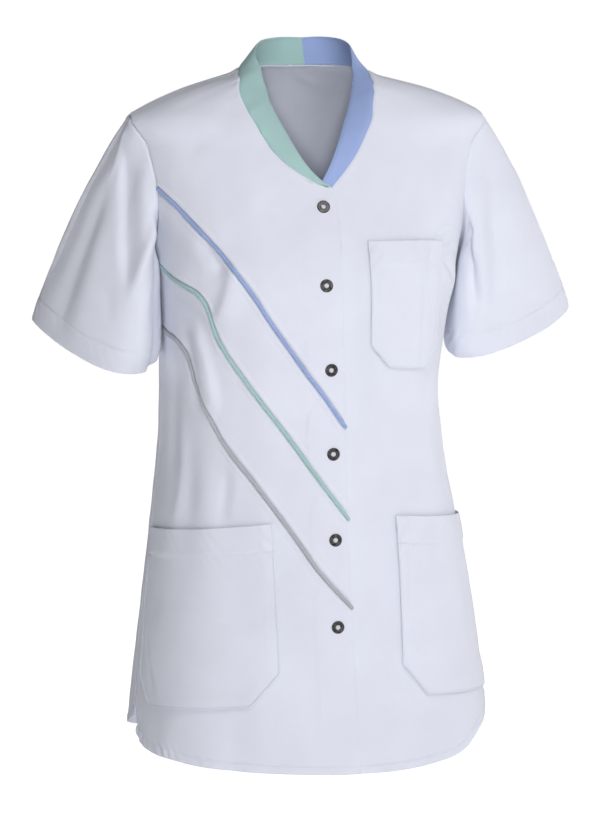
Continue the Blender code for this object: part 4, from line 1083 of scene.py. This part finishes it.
def yarn(name, colour):
    """Sewing thread: smoother than the cloth, with a fine twist."""
    result, tree, shader = new_material(name, colour)
    put(shader, Roughness=0.55, Sheen_Weight=0.1)
    place = tree.nodes.new("ShaderNodeTexCoord")
    noise = put(tree.nodes.new("ShaderNodeTexNoise"), Scale=2600.0)
    tree.links.new(place.outputs["Object"], noise.inputs["Vector"])
    twisted = tones(tree, noise.outputs["Fac"], colour, (0.3, 0.86), (0.7, 1.08))
    tree.links.new(twisted, shader.inputs["Base Color"])
    return result


class Panel:
    """A cut piece of the body as a fine grid, finished along its named sides."""

    def __init__(self, name, lines, lift, sides, cell=CELL):
        self.name = name
        self.sides = {
            side: (kind, kind, 0.0) if isinstance(kind, str) else kind for side, kind in sides.items()
        }
        bottom, top, left, right = lines
        fine = []
        for side in ("bottom", "top", "left", "right"):
            hemmed = [kind for kind in self.sides[side][:2] if kind in ("hem", "vent")]
            fine.append(hem_steps(EDGES[hemmed[0]][2]) if hemmed else EDGE_STEPS)
        self.grid = patch(bottom, top, left, right, *fine, cell)
        angle, height = self.grid[..., 0], self.grid[..., 1]
        self.base, self.normal = face(angle, height, lift(angle, height))
        self.away = {}
        out = np.zeros(angle.shape)
        extra = np.zeros(angle.shape)
        gather = ease((abs(wrap(angle)) - GATHER_FROM) / GATHER_OVER)
        gather = FRONT_GATHER + (1 - FRONT_GATHER) * gather
        rims = {
            "bottom": self.base[0], "top": self.base[-1],
            "left": self.base[:, 0], "right": self.base[:, -1],
        }
        edge = np.full(angle.shape, 1.0)
        for side, (low_kind, high_kind, switch) in self.sides.items():
            rim = rims[side]
            away, place = nearest(self.base, rim)
            self.away[side] = away
            places = run_lengths(rim)
            high = ease((np.interp(place, places, rim[:, 2]) - switch) / KIND_CHANGE + 0.5)
            for kind, share in ((low_kind, 1 - high), (high_kind, high)):
                moved, layers = finish(kind, away, place, gather)
                out += moved * share
                extra = np.maximum(extra, layers * share)
                if EDGES[kind][6]:
                    edge = np.minimum(edge, np.where(share > 0.5, away, 1.0))
        faces = two_faces(self.base, self.normal, out, CLOTH + extra, edge)
        self.outer, self.inner = faces
        self.flat = self.grid * FLAT_SCALE

    def build(self, material):
        piece = shell(self.name + "_cloth", self.outer, self.inner, [material], self.flat)
        return stand_for(piece, self.name)

    def stitch_lines(self):
        """The stitched lines of its turned edges."""
        lines = []
        for side, (low_kind, high_kind, switch) in self.sides.items():
            for kind, above in ((low_kind, False), (high_kind, True)):
                if kind not in ("hem", "vent") or (above and low_kind == high_kind):
                    continue
                line, ways = inset_line(self.outer, self.normal, self.away[side], EDGES[kind][2], side)
                if low_kind != high_kind:
                    kept = (line[:, 2] > switch) == above
                    line, ways = line[kept], ways[kept]
                if len(line) > 2:
                    lines.append((line, ways))
        return lines


def side_line(corner):
    """Angle and height up the side seam, which opens into a vent down to the hem's corner."""
    heights = np.linspace(SIDE_SEAM_LOW, ARMHOLE_FRONT[-1][1], SIDE_POINTS)
    end, low = corner
    opened = ease((VENT_TOP - heights) / (VENT_TOP - heights[0]))
    return np.stack([90 + (end - 90) * opened, heights + (low - heights[0]) * opened], -1)


def mirrored(line):
    """A line of angles and heights on the other side."""
    return line * (-1, 1)


def cut_at(line, height):
    """The lower and the upper stretch of a line that rises, parted at a height."""
    place = np.searchsorted(line[:, 1], height)
    share = (height - line[place - 1, 1]) / (line[place, 1] - line[place - 1, 1])
    middle = line[place - 1] * (1 - share) + line[place] * share
    return np.r_[line[:place], [middle]], np.r_[[middle], line[place:]]


def hem_line(table, angles, places):
    """The hem at the given angles, read from its table at the given places."""
    rows = np.array(table)
    return np.stack([angles, smooth(rows[:, 0], rows[:, 1], places)], -1)


def right_front_panels():
    """The four pieces of the wearer's right front, and the seams between them."""
    side = mirrored(side_line(HEM_RIGHT[-1]))
    armhole = mirrored(along(ARMHOLE_FRONT, LINE_POINTS))[::-1]
    rows = {}
    for name, table in (("blue", SEAM_BLUE), ("mint", SEAM_MINT), ("grey", SEAM_GREY)):
        line = along(table, LINE_POINTS)
        line[-1] = edge_line(FRONT_EDGE, line[-1:, 1])[0]
        rows[name] = line
    armhole_low, armhole_high = cut_at(armhole, rows["blue"][0, 1])
    rows["blue"][0] = armhole_high[0]
    side_low, side_high = cut_at(side, rows["grey"][0, 1])
    closing = edge_line(FRONT_EDGE, np.array([FRONT_EDGE[-1][0]]))[0, 0]
    angles = np.linspace(-HEM_RIGHT[-1][0], closing, LINE_POINTS)
    hem = hem_line(HEM_RIGHT, angles, -angles)
    shoulder = np.array([(-90.0, ARMHOLE_FRONT[0][1]), (-90.0, 0.0)])
    v_point = edge_line(FRONT_EDGE, np.array([NECKLINE_RIGHT[0][1]]))[0]
    neck = along(np.r_[[v_point], mirrored(np.array(NECKLINE_RIGHT))[1:]], LINE_POINTS)

    def edge(low, high):
        return edge_line(FRONT_EDGE, np.linspace(low, high, CLOSURE_POINTS))

    closure = edge(rows["blue"][-1, 1], v_point[1])
    top_sides = {
        "bottom": "piped", "top": "seam", "left": "armhole", "right": ("front", "neck", -0.119),
    }
    top = Panel(
        "front_right_1",
        (rows["blue"], shoulder, armhole_high, np.r_[closure[:-1], neck]),
        right_lift, top_sides, FRONT_CELL,
    )
    middle_sides = {"bottom": "piped", "top": "piped", "left": "seam", "right": "front"}
    middle = []
    for number, low, high, outer_side in (
        (2, "mint", "blue", armhole_low), (3, "grey", "mint", side_high),
    ):
        closure = edge(rows[low][-1, 1], rows[high][-1, 1])
        lines = (rows[low], rows[high], outer_side, closure)
        middle.append(
            Panel(f"front_right_{number}", lines, right_lift, middle_sides, FRONT_CELL)
        )
    fourth = Panel(
        "front_right_4",
        (hem, rows["grey"], side_low, edge(hem[-1, 1], rows["grey"][-1, 1])),
        right_lift,
        {"bottom": "hem", "top": "piped", "left": ("vent", "seam", VENT_TOP), "right": "front"},
        FRONT_CELL,
    )
    return (top, *middle, fourth), rows


def left_front_panel():
    """The wearer's left front with its underlap."""
    side = side_line(HEM_LEFT[-1])
    armhole = along(ARMHOLE_FRONT, LINE_POINTS)[::-1]
    outer = np.r_[side, armhole[1:]]
    v_height = NECKLINE_LEFT[0][1]
    heights = np.linspace(UNDERLAP_HEM, v_height - UNDERLAP_DROP, LINE_POINTS)
    snap_rows = np.array(SNAPS)
    offset = smooth(snap_rows[:, 0], snap_rows[:, 1], heights) - UNDERLAP
    edge = np.stack([angle_at(offset, heights), heights], -1)
    neck = np.r_[edge[-1:], along(NECKLINE_LEFT, LINE_POINTS)]
    inner = np.r_[edge, neck[1:]]
    angles = np.linspace(edge[0, 0], HEM_LEFT[-1][0], LINE_POINTS)
    hem = hem_line(HEM_LEFT, angles, angles)
    hem[0], hem[-1] = inner[0], outer[0]
    shoulder = np.array([(90.0, 0.0), (90.0, ARMHOLE_FRONT[0][1])])
    sides = {
        "bottom": "hem", "top": "seam", "left": ("front", "neck", v_height - 0.001),
        "right": ("vent", "armhole", VENT_TOP),
    }
    return Panel("front_left", (hem, shoulder, inner, outer), no_lift, sides, FRONT_CELL)


def back_panel():
    """The back, from side seam to side seam."""
    side = side_line(HEM_BACK[0])
    armhole = along(ARMHOLE_BACK, LINE_POINTS)[::-1]
    left = np.r_[side, armhole[1:]]
    right = left * (-1, 1) + (360, 0)
    shoulder = np.array([(90.0, ARMHOLE_BACK[0][1]), (90.0, 0.0)])
    neck = np.stack([np.linspace(90, 270, LINE_POINTS), np.zeros(LINE_POINTS)], -1)
    top = np.r_[shoulder, neck[1:], shoulder[::-1][1:] * (-1, 1) + (360, 0)]
    angles = np.linspace(HEM_BACK[0][0], 360 - HEM_BACK[0][0], SIDE_POINTS)
    hem = hem_line(HEM_BACK, angles, 180 - abs(180 - angles))
    hem[0], hem[-1] = left[0], right[0]
    sides = {
        "bottom": "hem", "top": ("seam", "neck", -0.002),
        "left": ("vent", "armhole", VENT_TOP), "right": ("vent", "armhole", VENT_TOP),
    }
    return Panel("back", (hem, top, left, right), no_lift, sides, BACK_CELL)


def rings_of(row):
    """A sleeve's outer face as rings from the armhole to the hem, with directions and shares."""
    side, cap_reach = row[0], row[-1]
    hem_outer, hem_front, hem_under, hem_back = (np.array(place) for place in row[1:-1])
    front = along(ARMHOLE_FRONT, SLEEVE_STEPS)
    back = along(ARMHOLE_BACK, SLEEVE_STEPS)[::-1]
    loop = np.r_[front, back[1:-1]]
    turn = 2 * math.pi * np.arange(len(loop)) / len(loop)
    under = ease(1 - (1 + np.cos(turn)) / 2 / UNDERARM_SHARE)
    start, body_out = face(side * loop[:, 0], loop[:, 1], OVERLAP_LIFT * under)
    start, body_out = start * (side, 1, 1), body_out * (side, 1, 1)
    start = start - body_out * (CAP_DROP * (1 - CAP_DROP_LOSS * under))[:, None]
    reach = np.cos(turn)[:, None]
    forward = np.sin(turn)[:, None]
    middle = (hem_outer + hem_front + hem_under + hem_back) / 4
    half = (hem_outer - hem_under) / 2
    depth = (hem_front - hem_back) / 2
    corner = (hem_outer + hem_under - hem_front - hem_back) / 4
    end = middle + reach * half + forward * depth + np.cos(2 * turn)[:, None] * corner
    axis = np.cross(half, depth)
    axis *= -np.sign(axis[2]) / np.linalg.norm(axis)
    lift = (1 + reach) / 2
    first = lift * np.array((CAP_LIFT[0], 0, CAP_LIFT[1])) + (1 - lift) * np.array(
        (UNDERARM_RUN[0], 0, UNDERARM_RUN[1])
    )
    first = first + forward * np.array((0, -FORWARD_FLARE, 0))
    first = unit(first)
    shares = steps(SLEEVE_LENGTH, EDGE_STEPS, hem_steps(SLEEVE_HEM), SLEEVE_CELL)
    t = shares[:, None, None]
    length = cap_reach * (UNDERARM_REACH_SHARE + (1 - UNDERARM_REACH_SHARE) * lift)
    rings = (
        (2 * t**3 - 3 * t**2 + 1) * start
        + (t**3 - 2 * t**2 + t) * length * first
        + (3 * t**2 - 2 * t**3) * end
        + (t**3 - t**2) * HEM_REACH * axis
    )
    around = np.roll(rings, -1, 1) - np.roll(rings, 1, 1)
    down = np.gradient(rings, shares, axis=0)
    out = unit(np.cross(down, around))
    if ((out[-1] * (rings[-1] - middle)).sum()) < 0:
        out = -out
    tucked = start - first * CAP_TUCK - body_out * CAP_TUCK_IN
    return rings, out, shares, np.degrees(turn), tucked


def sleeve(row):
    """A sleeve from under the armhole's edge to its hem, with its hem stitch."""
    side = row[0]
    name = "sleeve_right" if side < 0 else "sleeve_left"
    rings, out, shares, degrees, tucked = rings_of(row)
    arc = SLEEVE_GIRTH / 360
    a = degrees[None] * arc
    b = np.repeat(shares[:, None], len(degrees), 1) * SLEEVE_LENGTH
    folds = np.zeros(b.shape)
    for fold_side, round_1, along_1, round_2, along_2, width, height in SLEEVE_FOLDS:
        if fold_side == side:
            away, place = fold_distance(
                a, b, round_1 * arc, along_1 * SLEEVE_LENGTH, round_2 * arc, along_2 * SLEEVE_LENGTH
            )
            folds += height * swell(place) * bell(away, width)
    for fold_side, round_1, along_1, round_2, along_2, bow, left, right, height in SLEEVE_CREASES:
        if fold_side == side:
            line = (
                round_1 * arc, along_1 * SLEEVE_LENGTH, round_2 * arc, along_2 * SLEEVE_LENGTH,
            )
            away, strength = crease(a, b, line, bow)
            folds += height * strength * reach_of(away, left, right)
    folds *= ease(shares / SLEEVE_FOLD_START)[:, None]
    ripple = ease(shares / RIPPLE_START)[:, None]
    folds += ripple * (waves(a, b) + 0.4 * waves(a * 1.7 + 0.2, b * 1.7))
    rings = rings + out * folds[..., None]
    away_end, place_end = nearest(rings, np.r_[rings[-1], rings[-1][:1]])
    away_start, place_start = nearest(rings, np.r_[rings[0], rings[0][:1]])
    moved, layers = finish("cuff", away_end, place_end)
    dipped, _ = finish("cap", away_start, place_start)
    outer, inner = two_faces(rings, out, moved + dipped, CLOTH + layers, away_end)
    flip = np.array((side, 1, 1))
    stitch_row = np.argmin(abs(away_end.mean(1) - SLEEVE_HEM))
    line = np.r_[outer[stitch_row], outer[stitch_row][:1]] * flip
    ways = np.r_[out[stitch_row], out[stitch_row][:1]] * flip
    outer = np.concatenate([tucked[None], outer]) * flip
    inner = np.concatenate([tucked[None] - out[:1] * CLOTH, inner]) * flip
    flat = np.stack([a + 0 * b, b], -1)
    flat = np.concatenate([flat[:1] - (0, CAP_TUCK), flat])
    piece = shell(name + "_cloth", outer, inner, [MATERIALS["white_twill"]], flat, closed=True)
    stand_for(piece, name)
    sewn = stitches(name + "_thread", [(line, ways)], MATERIALS["thread"])


def neck_line(side):
    """The neck seam from the closure over the shoulder to the back seam, and the band's places."""
    if side < 0:
        v_point = edge_line(FRONT_EDGE, np.array([NECKLINE_RIGHT[0][1]]))[0]
        front = along(np.r_[[v_point], mirrored(np.array(NECKLINE_RIGHT))[1:]], BAND_FRONT_POINTS)
        front = front * (-1, 1)
        turned = front[:, 0].copy()
        past = np.argmax(turned > BAND_EVEN_TO)
        length = flat_length(front)
        turned[:past] = BAND[0][0] + (turned[past] - BAND[0][0]) * length[:past] / length[past]
    else:
        front = along(NECKLINE_LEFT, BAND_FRONT_POINTS)
        turned = front[:, 0].copy()
    last = BAND_BACK_ANGLE if side > 0 else 360 - BAND_BACK_ANGLE
    behind = np.linspace(90, last, BAND_BACK_POINTS)[1:]
    line = np.r_[front, np.stack([behind, 0 * behind], -1)] * (side, 1)
    turned = np.r_[turned, 90 + (behind - 90) * 90 / (last - 90)]
    return line, turned


def neck_band(side):
    """Half of the neck band, two layers thick, folded at its upper edge."""
    name, slot = (("band_right", "mint_twill"), ("band_left", "blue_twill"))[side > 0]
    line, turned = neck_line(side)
    lift = right_lift if side < 0 else no_lift
    wrapped = wrap(line[:, 0])
    sink = neck_dip(wrapped, line[:, 1])
    seam, _ = cloth(line[:, 0], line[:, 1], lift(*line.T) + BAND_LIFT - sink)
    edge_name = "edge_x_right" if side < 0 else "edge_x_left"
    wanted = (edge_name, "edge_y", "edge_height", "out")
    values = np.transpose([column(BAND, BAND_COLUMNS, each) for each in wanted])
    rows = smooth(column(BAND, BAND_COLUMNS, "angle"), values, turned)
    edge, out = rows[:, :3], rows[:, 3]
    places = run_lengths(seam)
    shares = steps(places[-1], EDGE_STEPS, EDGE_STEPS, BAND_CELL)
    at = shares * places[-1]
    seam, edge, out = (
        read_along(at, places, rows) for rows in (seam, edge, out[:, None])
    )
    width = np.linalg.norm(edge - seam, axis=1).mean()
    across = steps(width, EDGE_STEPS, (0.0002, *EDGE_STEPS), BAND_CELL)[:, None, None]
    grid = seam[None] * (1 - across) + edge[None] * across
    around = np.gradient(grid, at, axis=1)
    around[:, -1] = (-side, 0, 0)
    normal = unit(np.cross(around, np.broadcast_to(edge - seam, grid.shape)))
    if normal[-1, -1, 1] < 0:
        normal = -normal
    away = {
        "bottom": nearest(grid, grid[0]), "top": nearest(grid, grid[-1]),
        "left": nearest(grid, grid[:, 0]), "right": nearest(grid, grid[:, -1]),
    }
    low, high = away["bottom"][0], away["top"][0]
    puff = BAND_PUFF * ease(low / BAND_PUFF_FROM) * ease(high / BAND_PUFF_FROM)
    dent = 0
    for distance in (high, low):
        dent = dent - BAND_DENT * bell(distance - BAND_STITCH, GROOVE_REACH)
    a, b = away["bottom"][1], low
    ripple = BAND_RIPPLE * np.sin(a / BAND_RIPPLE_LENGTH * 2 * math.pi + 2 * np.sin(a / BAND_RIPPLE_SWAY))
    ripple *= bell(b, BAND_RIPPLE_REACH)
    for first, second, reach, depth in BAND_CREASES[name]:
        gap, place = fold_distance(a, b, *first, *second)
        ripple += depth * swell(place) * bell(gap, reach)
    shift = out[..., 0][None] + puff + dent + ripple
    shift -= BAND_SEAM_DIP * bell(low, BAND_DIP_REACH)
    shift -= BAND_END_DIP * bell(away["right"][0], BAND_DIP_REACH)
    from_fold = np.minimum(high, away["left"][0])
    outer, inner = two_faces(grid, normal, shift, BAND_WALL, from_fold)
    if side > 0:
        for surface in (outer, inner):
            surface[:, 0] += BAND_TUCK * (surface[:, BAND_TUCK_AT] - surface[:, 0])
    flat = np.stack([a, b], -1)
    piece = shell(name + "_cloth", outer, inner, [MATERIALS[slot]], flat)
    stand_for(piece, name)
    lines = [
        inset_line(outer, normal, low, BAND_STITCH, "bottom"),
        inset_line(outer, normal, high, BAND_STITCH, "top"),
        inset_line(inner, -normal, high, BAND_STITCH, "top"),
        inset_line(inner, -normal, low, BAND_STITCH, "bottom"),
    ]
    sewn = stitches(name + "_thread", lines, MATERIALS[slot + "_thread"])


def piping(name, slot, line):
    """A rounded corded strip along a seam, turned down over the front edge at its end."""
    line = line[MINT_START:] if name == "piping_mint" else line
    length = flat_length(line)[-1]
    fine = resampled(line, steps(length, (), (), cell=0.0022))
    points, normal = face(fine[:, 0], fine[:, 1], right_lift(fine[:, 0], fine[:, 1]))
    run = unit(np.gradient(points, axis=0))
    last, ahead, up = points[-1], run[-1], normal[-1]
    tail, turned = [], []
    for share in np.arange(1, TAIL_STEPS + 1) / TAIL_STEPS:
        turn, lean = share * math.pi / 2, share * TAIL_LEAN
        tail.append(last + ahead * TAIL_RUN * math.sin(turn) - up * TAIL_DROP * (1 - math.cos(turn)))
        turned.append(up * math.cos(lean) + ahead * math.sin(lean))
    points = np.r_[points, tail]
    normal = np.r_[normal, turned]
    run = unit(np.gradient(points, axis=0))
    side = unit(np.cross(normal, run))
    turns = np.linspace(0, math.pi, 11)[:, None, None]
    half = PIPING_WIDTH / 2
    across = side[None] * half * np.cos(turns)
    outer = points[None] + across + normal[None] * (PIPING_HEIGHT * np.sin(turns) - PIPING_SINK)
    inner = points[None] + across * PIPING_UNDER_SHARE - normal[None] * PIPING_UNDER
    places = run_lengths(points)
    flat = np.stack(np.broadcast_arrays(places[None], turns[..., 0] * half), -1)
    piece = shell(name + "_cord", outer, inner, [MATERIALS[slot + "_rib"]], flat)
    return stand_for(piece, name)


def pocket(row):
    """A patch pocket on the body's face, its edges turned under and stitched down."""
    name, top_inner, top_outer, low_inner, low_outer, chamfer, rise, hem, turned, division = row
    top_inner, top_outer, low_inner, low_outer = map(
        np.array, (top_inner, top_outer, low_inner, low_outer)
    )
    side_inner = top_inner + (low_inner - top_inner) * (1 - rise)
    side_outer = top_outer + (low_outer - top_outer) * (1 - rise)
    bottom_inner = low_inner + (low_outer - low_inner) * chamfer
    bottom_outer = low_outer + (low_inner - low_outer) * chamfer
    corners = np.array([side_inner, bottom_inner, bottom_outer, side_outer])
    across_length = flat_length(np.array([top_inner, top_outer]))[-1]
    up_length = flat_length(np.array([side_inner, top_inner]))[-1]
    fine = (*EDGE_STEPS, 0.0036, turned - 0.001, turned, turned + 0.001)
    across = steps(across_length, fine, fine, POCKET_CELL)
    up = steps(up_length, fine, hem_steps(hem), POCKET_CELL)
    knots = [0, POCKET_CHAMFER_SHARE, 1 - POCKET_CHAMFER_SHARE, 1]
    low = read_along(across, knots, corners)
    top = top_inner + (top_outer - top_inner) * across[:, None]
    inner_side = side_inner * (1 - up[:, None]) + top_inner * up[:, None]
    outer_side = side_outer * (1 - up[:, None]) + top_outer * up[:, None]
    grid = coons(low, top, inner_side, outer_side, across, up)
    lift = right_lift if name == "pocket_hip_right" else no_lift
    points, normals = face(grid[..., 0], grid[..., 1], lift(grid[..., 0], grid[..., 1]))
    outline = np.r_[points[::-1, 0], points[0, 1:], points[1:, -1]]
    away, place = nearest(points, outline)
    away_top, place_top = nearest(points, points[-1])
    u, v = across[None, :], up[:, None]
    full = POCKET_FULLNESS * np.clip(4 * u * (1 - u), 0, 1) ** 0.5 * ease(v / POCKET_FULL_FROM)
    full = full * ease(away / POCKET_FULL_REACH)
    hemmed, hem_layers = finish("pocket_top", away_top, place_top)
    edged, edge_layers = finish("pocket_edge", away, place)
    edged = edged + POCKET_RISE * (1 - ease((away - turned) / POCKET_RISE_EDGE))
    for first_u, first_v, last_u, last_v, reach, out in POCKET_CREASES[name]:
        size = (across_length, up_length)
        gap, share = fold_distance(
            u * size[0], v * size[1], first_u * size[0], first_v * size[1],
            last_u * size[0], last_v * size[1],
        )
        strength = swell(share) * bell(gap, reach)
        edged = edged + out * strength * ease(away / POCKET_CREASE_FROM)
    if division:
        gap = abs(u - division) * across_length
        edged = edged - DIVISION_DEPTH * bell(gap, DIVISION_REACH)
        edged = edged - full * DIVISION_FLAT * bell(gap, DIVISION_FLAT_REACH)
    thickness = CLOTH + np.maximum(hem_layers, edge_layers)
    lost = rounded(np.minimum(away, away_top), thickness)
    stand = POCKET_LIFT + full + thickness + hemmed + edged
    outer = points + normals * (stand - lost)[..., None]
    inner = points + normals * np.maximum(stand - thickness + lost, 0.0001)[..., None]
    flat = grid * FLAT_SCALE
    piece = shell(name + "_cloth", outer, inner, [MATERIALS["white_twill"]], flat)
    stand_for(piece, name)
    lines = [inset_line(outer, normals, away_top, hem, "top")]
    lines += [
        outline_line(outer, normals, corners, top_inner, top_outer, EDGE_STITCH, grid)
    ]
    if division:
        at = np.searchsorted(across, division)
        lines.append((outer[:, at], normals[:, at]))
    sewn = stitches(name + "_thread", lines, MATERIALS["thread"])


def outline_line(outer, normals, corners, top_inner, top_outer, inset, grid):
    """The edge stitch down one side of a pocket, round its lower corners and up the other."""
    scale = np.array(FLAT_SCALE)
    path = np.array([top_inner, *corners, top_outer]) * scale
    middle = path.mean(0)
    moved = []
    for k in range(len(path)):
        before = path[k] - path[max(k - 1, 0)]
        after = path[min(k + 1, len(path) - 1)] - path[k]
        sides = []
        for run in (before, after):
            if np.linalg.norm(run) > 1e-9:
                side = np.array((-run[1], run[0])) / np.linalg.norm(run)
                sides.append(side if side @ (middle - path[k]) > 0 else -side)
        way = sum(sides) / len(sides)
        moved.append(path[k] + way * inset / max(way @ way, 0.5))
    moved = np.array(moved)
    length = run_lengths(moved)
    at = np.linspace(0, length[-1], OUTLINE_POINTS)
    line = read_along(at, length, moved)
    cells = (grid * scale).reshape(-1, 2)
    points, ways = [], []
    for spot in line:
        gap = np.hypot(*(cells - spot).T)
        near = np.argsort(gap)[:4]
        weight = 1 / (gap[near] + 1e-6) ** 2
        weight /= weight.sum()
        points.append(weight @ outer.reshape(-1, 3)[near])
        ways.append(weight @ normals.reshape(-1, 3)[near])
    return np.array(points), np.array(ways)


def turned_ring(name, centre, normal, profile, waviness, material, steps_round=72):
    """A turned ring or dome from a closed or open section of radius and height."""
    right = unit(np.cross((0, 0, 1), normal))
    front = np.cross(normal, right)
    profile = np.array(profile)
    turn = 2 * math.pi * np.arange(steps_round) / steps_round
    spoke = np.cos(turn)[:, None] * right + np.sin(turn)[:, None] * front
    height = profile[None, :, 1] + waviness[None, :] * np.cos(turn * SNAP_PRONGS)[:, None]
    points = centre + spoke[:, None] * profile[None, :, :1] + normal * height[..., None]
    size = len(profile)
    faces = []
    for k in range(steps_round):
        here, there = k * size, (k + 1) % steps_round * size
        for j in range(size):
            after = (j + 1) % size
            faces.append((here + j, there + j, there + after, here + after))
    return mesh_piece(name, points.reshape(-1, 3), faces, [material])


def snaps():
    """Ring snaps on the right front, the white cloth in their holes and the rings behind."""
    domes = []
    for number, (height, distance) in enumerate(SNAPS, 1):
        angle = float(angle_at(np.array([distance]), np.array([height]))[0])
        spot = np.array([angle]), np.array([height])
        point, normal = (field[0] for field in face(*spot, right_lift(*spot)))
        ring = turned_ring(
            f"snap_{number}_ring", point + normal * SNAP_SEAT, normal, SNAP_SECTION,
            np.array(SNAP_WAVE), MATERIALS["snap_metal"],
        )
        stand_for(ring, f"snap_{number}")
        dome = turned_ring(
            f"snap_{number}_cloth", point, normal, SNAP_DOME, np.zeros(len(SNAP_DOME)),
            MATERIALS["white_twill_plain"], 32,
        )
        domes.append(dome)
        pressed = dimples(*spot)
        point, normal = (field[0] for field in face(*spot, pressed))
        under = point - normal * (CLOTH + 0.0003)
        ring = turned_ring(
            f"snap_back_{number}_ring", under, -normal, SNAP_BACK_SECTION,
            np.zeros(len(SNAP_BACK_SECTION)), MATERIALS["snap_metal"], 48,
        )
        stand_for(ring, f"snap_back_{number}")
    return domes


def neck_roll():
    """The narrow roll that covers the seam inside the back of the neck."""
    turns = np.linspace(*ROLL_ENDS, 150)
    points, normal = face(turns, 0 * turns, -ROLL_INSET)
    run = unit(np.gradient(points, axis=0))
    side = np.cross(normal, run)
    turn = (2 * math.pi * np.arange(ROLL_SIDES) / ROLL_SIDES)[:, None, None]
    across = side[None] * ROLL_HALF_WIDTH * np.cos(turn)
    points = points[None] + across + normal[None] * ROLL_HALF_HEIGHT * np.sin(turn)
    points = np.moveaxis(points, 1, 0)
    count, size = points.shape[:2]
    faces = []
    for k in range(count - 1):
        for j in range(size):
            after = (j + 1) % size
            here, there = k * size, (k + 1) * size
            faces.append((here + j, there + j, there + after, here + after))
    faces.append(tuple(range(size))[::-1])
    faces.append(tuple((count - 1) * size + j for j in range(size)))
    piece = mesh_piece("neck_roll", points.reshape(-1, 3), faces, [MATERIALS["white_twill_plain"]])
    return piece


def place_facing(data, target, turn, rise, distance):
    """Puts a lamp or camera that far from its target, turned from the front and up, facing it."""
    turn, rise = math.radians(turn), math.radians(rise)
    way = Vector((math.sin(turn) * math.cos(rise), -math.cos(turn) * math.cos(rise), math.sin(rise)))
    made = bpy.data.objects.new(data.name, data)
    bpy.context.scene.collection.objects.link(made)
    made.location = Vector(target) + way * distance
    made.rotation_euler = (-way).to_track_quat("-Z", "Y").to_euler()
    return made


def lamp(name, turn, rise, distance, size, power):
    """A square soft lamp that faces the garment's middle."""
    data = bpy.data.lights.new(name, "AREA")
    data.shape = "SQUARE"
    data.size = size
    data.energy = power
    place_facing(data, LAMP_CENTRE, turn, rise, distance)


def studio():
    """A wide white floor, soft lamps and a dim surround."""
    turns = np.linspace(0, 2 * math.pi, FLOOR_SIDES, endpoint=False)
    rim = np.stack([np.cos(turns), np.sin(turns), 0 * turns], -1)
    points = np.concatenate([rim * radius + (0, 0, FLOOR) for radius in FLOOR_RINGS])
    faces = [tuple(range(FLOOR_SIDES))]
    for ring in range(len(FLOOR_RINGS) - 1):
        low, high = ring * FLOOR_SIDES, (ring + 1) * FLOOR_SIDES
        for k in range(FLOOR_SIDES):
            after = (k + 1) % FLOOR_SIDES
            faces.append((low + k, high + k, high + after, low + after))
    mesh = bpy.data.meshes.new("floor")
    mesh.from_pydata(points.tolist(), [], faces)
    paper = bpy.data.materials.new("floor")
    paper.use_nodes = True
    tree = paper.node_tree
    shader = tree.nodes["Principled BSDF"]
    shader.inputs["Base Color"].default_value = (0.95, 0.95, 0.955, 1)
    shader.inputs["Roughness"].default_value = 0.9
    shader.inputs["Emission Color"].default_value = (1, 1, 1, 1)
    place = tree.nodes.new("ShaderNodeTexCoord")
    depth = tree.nodes.new("ShaderNodeSeparateXYZ")
    tree.links.new(place.outputs["Object"], depth.inputs["Vector"])
    glow = tree.nodes.new("ShaderNodeMapRange")
    for key, value in zip(("From Min", "From Max", "To Min", "To Max"), FLOOR_GLOW):
        glow.inputs[key].default_value = value
    tree.links.new(depth.outputs["Y"], glow.inputs["Value"])
    tree.links.new(glow.outputs["Result"], shader.inputs["Emission Strength"])
    mesh.materials.append(paper)
    floor = bpy.data.objects.new("floor", mesh)
    bpy.context.scene.collection.objects.link(floor)
    world = bpy.data.worlds.new("surround")
    bpy.context.scene.world = world
    world.use_nodes = True
    back = world.node_tree.nodes["Background"]
    back.inputs["Color"].default_value = (0.96, 0.975, 1.0, 1)
    back.inputs["Strength"].default_value = SURROUND
    for row in LAMPS:
        lamp(*row)


def camera():
    """A camera at the photo's angle."""
    data = bpy.data.cameras.new("photo")
    data.sensor_width = SENSOR_WIDTH
    data.lens = LENS
    bpy.context.scene.camera = place_facing(
        data, CAMERA_TARGET, CAMERA_TURN, CAMERA_RISE, CAMERA_DISTANCE
    )


MATERIALS = {
    "white_twill": twill("white_twill_cloth", WHITE),
    "white_twill_plain": twill("white_cloth_plain", WHITE),
    "mint_twill": twill("mint_twill_cloth", MINT),
    "blue_twill": twill("blue_twill_cloth", BLUE),
    "mint_twill_rib": ribbed("mint_cord", MINT),
    "blue_twill_rib": ribbed("blue_cord", BLUE),
    "grey_twill_rib": ribbed("grey_cord", GREY),
    "thread": yarn("white_thread", WHITE),
    "mint_twill_thread": yarn("mint_thread", MINT),
    "blue_twill_thread": yarn("blue_thread", BLUE),
    "snap_metal": plain_metal("snap_dark_metal", METAL),
}

rights, seams = right_front_panels()
left = left_front_panel()
back = back_panel()
domes = snaps()
roll = neck_roll()
for panel in (*rights, left, back):
    piece = panel.build(MATERIALS["white_twill"])
    lines = panel.stitch_lines()
    extras = []
    if lines:
        extras.append(stitches(panel.name + "_thread", lines, MATERIALS["thread"]))
    if panel.name == "back":
        extras.append(roll)
    if panel.name == "front_right_1":
        extras += domes
for row in SLEEVES:
    sleeve(row)
neck_band(-1)
neck_band(1)
for tone in ("blue", "mint", "grey"):
    piping("piping_" + tone, tone + "_twill", seams[tone])
for row in POCKETS:
    pocket(row)
studio()
camera()
bpy.context.scene.view_settings.view_transform = "Standard"
